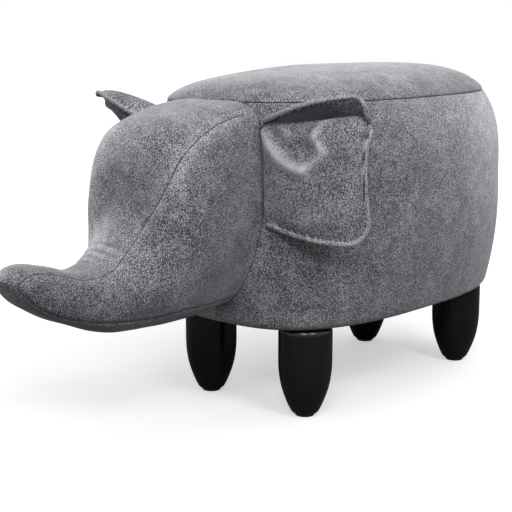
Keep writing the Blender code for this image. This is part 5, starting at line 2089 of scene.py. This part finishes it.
@dataclass
class Studio:
    """Plain white photo studio: floor, soft lights, white surroundings and the camera."""

    floor_size: float = 14.0
    floor_tone: float = 0.70
    floor_bounce: float = 0.14
    floor_lift: float = 0.50
    far_lift: float = 0.35
    far_lift_from: float = 0.3
    far_lift_to: float = 1.1
    horizon: float = 0.12
    zenith: float = 0.66
    overhead: float = 0.3
    overhead_width_degrees: float = 26.0
    overhead_towards: Triple = (0.15, 0.15, 1.0)
    camera_place: Triple = (0.9166, -1.0452, 0.4435)
    azimuth_degrees: float = 41.7355
    pitch_degrees: float = 11.0903
    lens: float = 86.2
    sensor_width: float = 36.0
    nearest_seen: float = 0.01
    in_gloss: float = 0.8

    def build(self) -> None:
        """Set up the floor, the lights, the surroundings and the camera."""
        self.add_floor()
        self.add_surroundings()
        self.add_overhead()
        for light in SOFT_LIGHTS:
            light.hang()
        self.add_camera()
        bpy.context.scene.view_settings.view_transform = "Standard"

    def add_floor(self) -> None:
        """Lay the floor, which shows white and keeps the object's shadow."""
        floor = basic_shape(bpy.ops.mesh.primitive_plane_add, size=self.floor_size)
        floor.name = "studio_floor"
        made = bpy.data.materials.new("white_floor")
        made.use_nodes = True
        tree = made.node_tree
        tree.nodes.clear()
        seen = self.seen_by_eye(tree)
        tone = spread(tree, seen, 0.0, 1.0, self.floor_bounce, self.floor_tone)
        matt = add_node(tree, "ShaderNodeBsdfDiffuse", {"Color": tone})
        # Away from the object the floor's glow, seen only by the camera, rises to full white: painted
        # light that fades the outer part of the object's shadow
        place = add_node(tree, "ShaderNodeTexCoord").outputs["Object"]
        away = add_node(tree, "ShaderNodeVectorMath", {0: place}, operation="LENGTH").outputs["Value"]
        lifts = (self.floor_lift, self.floor_lift + self.far_lift)
        level = spread(tree, away, self.far_lift_from, self.far_lift_to, *lifts)
        lift = calculate(tree, "MULTIPLY", seen, level)
        glow = add_node(tree, "ShaderNodeEmission", {"Color": WHITE, "Strength": lift})
        both = add_node(tree, "ShaderNodeAddShader", {0: matt.outputs[0], 1: glow.outputs[0]})
        add_node(tree, "ShaderNodeOutputMaterial", {"Surface": both.outputs[0]})
        floor.data.materials.append(made)

    def seen_by_eye(self, tree: NodeTree) -> NodeSocket:
        """One for rays that show a surface directly or through glass, else zero."""
        ray = add_node(tree, "ShaderNodeLightPath").outputs
        return calculate(tree, "MAXIMUM", ray["Is Camera Ray"], ray["Is Transmission Ray"])

    def add_surroundings(self) -> None:
        """Fill the room with even white light that shows as white."""
        world = bpy.data.worlds.new("white_studio")
        bpy.context.scene.world = world
        world.use_nodes = True
        tree = world.node_tree
        # The room is brighter above, as under a large ceiling of cloth
        towards = add_node(tree, "ShaderNodeTexCoord").outputs["Generated"]
        height = add_node(tree, "ShaderNodeSeparateXYZ", {"Vector": towards}).outputs["Z"]
        room = spread(tree, height, 0.0, 1.0, self.horizon, self.zenith)
        ray = add_node(tree, "ShaderNodeLightPath")
        gloss = calculate(tree, "MULTIPLY", ray.outputs["Is Glossy Ray"], self.in_gloss)
        share = calculate(tree, "MAXIMUM", self.seen_by_eye(tree), gloss)
        inputs = {"Factor": share, 2: room, 3: 1.0}
        strength = add_node(tree, "ShaderNodeMix", inputs, data_type="FLOAT").outputs[0]
        feed(tree, tree.nodes["Background"], {"Color": WHITE, "Strength": strength})

    def add_overhead(self) -> None:
        """Hang the wide, even light over the object."""
        lamp = bpy.data.lights.new("overhead_light", "SUN")
        lamp.energy = self.overhead
        lamp.angle = math.radians(self.overhead_width_degrees)
        aim = Vector(self.overhead_towards).to_track_quat("Z", "Y")
        stand("overhead_light", lamp, aim.to_matrix().to_4x4())

    def add_camera(self) -> None:
        """Stand the camera where the photograph was taken from."""
        azimuth = math.radians(self.azimuth_degrees)
        pitch = math.radians(self.pitch_degrees)
        right = Vector((math.cos(azimuth), math.sin(azimuth), 0.0))
        level = math.cos(pitch)
        back = Vector((math.sin(azimuth) * level, -math.cos(azimuth) * level, math.sin(pitch)))
        lens = bpy.data.cameras.new("camera")
        lens.lens = self.lens
        lens.sensor_width = self.sensor_width
        lens.clip_start = self.nearest_seen
        turned = Matrix((right, back.cross(right), back)).transposed().to_4x4()
        place = Matrix.Translation(Vector(self.camera_place)) @ turned
        bpy.context.scene.camera = stand("camera", lens, place)


LEFT_EAR = EarForm(
    side=1,
    edge=(
        (0.955289, -0.29228, -0.04466, 0.072835),
        (0.293083, 0.956005, 0.012485, -0.084679),
        (0.039046, -0.025016, 0.998924, 0.225018),
    ),
    rise=0.026,
    arch=0.0,
    twist_degrees=0.0,
    fold_degrees=24.0,
    droop_degrees=30.0,
    upper_corner=0.014,
)
RIGHT_EAR = EarForm(
    side=-1,
    edge=(
        (0.998393, 0.034896, 0.04466, -0.072835),
        (-0.035486, 0.999292, 0.012485, -0.084679),
        (-0.044193, -0.01405, 0.998924, 0.225018),
    ),
    rise=0.013,
    arch=0.004,
    length=0.122,
    twist_degrees=24.0,
    twist_depth=0.21,
    twist_power=1.8,
    pocket=1 * MM,
    upper_corner=0.005,
    root_fold=0.003,
    outer_fold=0.003,
    fold_degrees=80.0,
    droop_degrees=42.0,
    root_brim=0.025,
    outer_brim=0.008,
    root_share=0.2,
)


@dataclass
class Seams:
    """Where the covers are joined: the measures that shade each seam, and its thread."""

    shelf: FinishShelf
    body: PaddedBody
    head: StuffedHead
    faint: float = 0.9 * MM
    neck_points: int = 1500
    neck_thread_points: int = 900
    chin_height: float = 0.2
    seat_sink: float = 0.5 * MM

    def build(self) -> None:
        """Measure how far the covers' points lie from the seams, and sew them."""
        body, head = self.body, self.head
        body_tree = surface_tree(body.side, body.seat)
        head_tree = surface_tree(head.item)
        neck = head.neck_line(body_tree)
        ring = body.seam_ring()
        front, back = body.upright_seams()
        side_points = mesh_points(body.side)
        upright = distance_to(side_points, np.concatenate([front, back]))
        set_measure(body.side, "seam", np.minimum(upright, distance_to(side_points, ring) + self.faint))
        set_measure(body.seat, "seam", distance_to(mesh_points(body.seat), ring) + self.faint)
        neck_dense = resample(neck, np.linspace(0.0, 1.0, self.neck_points))
        for item, other in ((body.side, head_tree), (body.seat, head_tree), (head.item, body_tree)):
            points = mesh_points(item)
            side = np.array([side_of(point, other) for point in points])
            set_measure(item, "neck", distance_to(points, neck_dense) * side)
        log.info("seams measured")
        stitching = Stitching(self.shelf)
        stitching.sew("thread_seat_seam", ring, body_tree, self.seat_sink)
        below = [point for point in front if point[2] < self.chin_height]
        free = np.array([point for point in below if side_of(point, head_tree) > 0.0])
        stitching.sew("thread_front_seam", free, body_tree)
        stitching.sew("thread_back_seam", back, body_tree)
        neck_shares = np.linspace(0.0, 1.0, self.neck_thread_points)
        stitching.sew("thread_neck", resample(neck, neck_shares), head_tree)
        for side_name, line in head.seam_lines().items():
            stitching.sew(f"thread_head_{side_name}", line, head_tree)


def main() -> None:
    """Build the stool's looks and the studio."""
    log.info("frame loaded")
    shelf = FinishShelf()
    body = PaddedBody(shelf)
    body.build()
    head = StuffedHead(shelf)
    head.build()
    SoftEar(shelf, LEFT_EAR, "soft_ear_left", Rider.EAR_LEFT).build()
    # The far ear's whole tone is lowered: painted shade
    SoftEar(shelf, RIGHT_EAR, "soft_ear_right", Rider.EAR_RIGHT, rubbed_and_painted_light=-0.25).build()
    legs = TurnedLegs(shelf)
    legs.build()
    DustCover(shelf, legs).build()
    HiddenFrame(shelf).build()
    Seams(shelf, body, head).build()
    Studio().build()


if __name__ == "__main__":
    main()
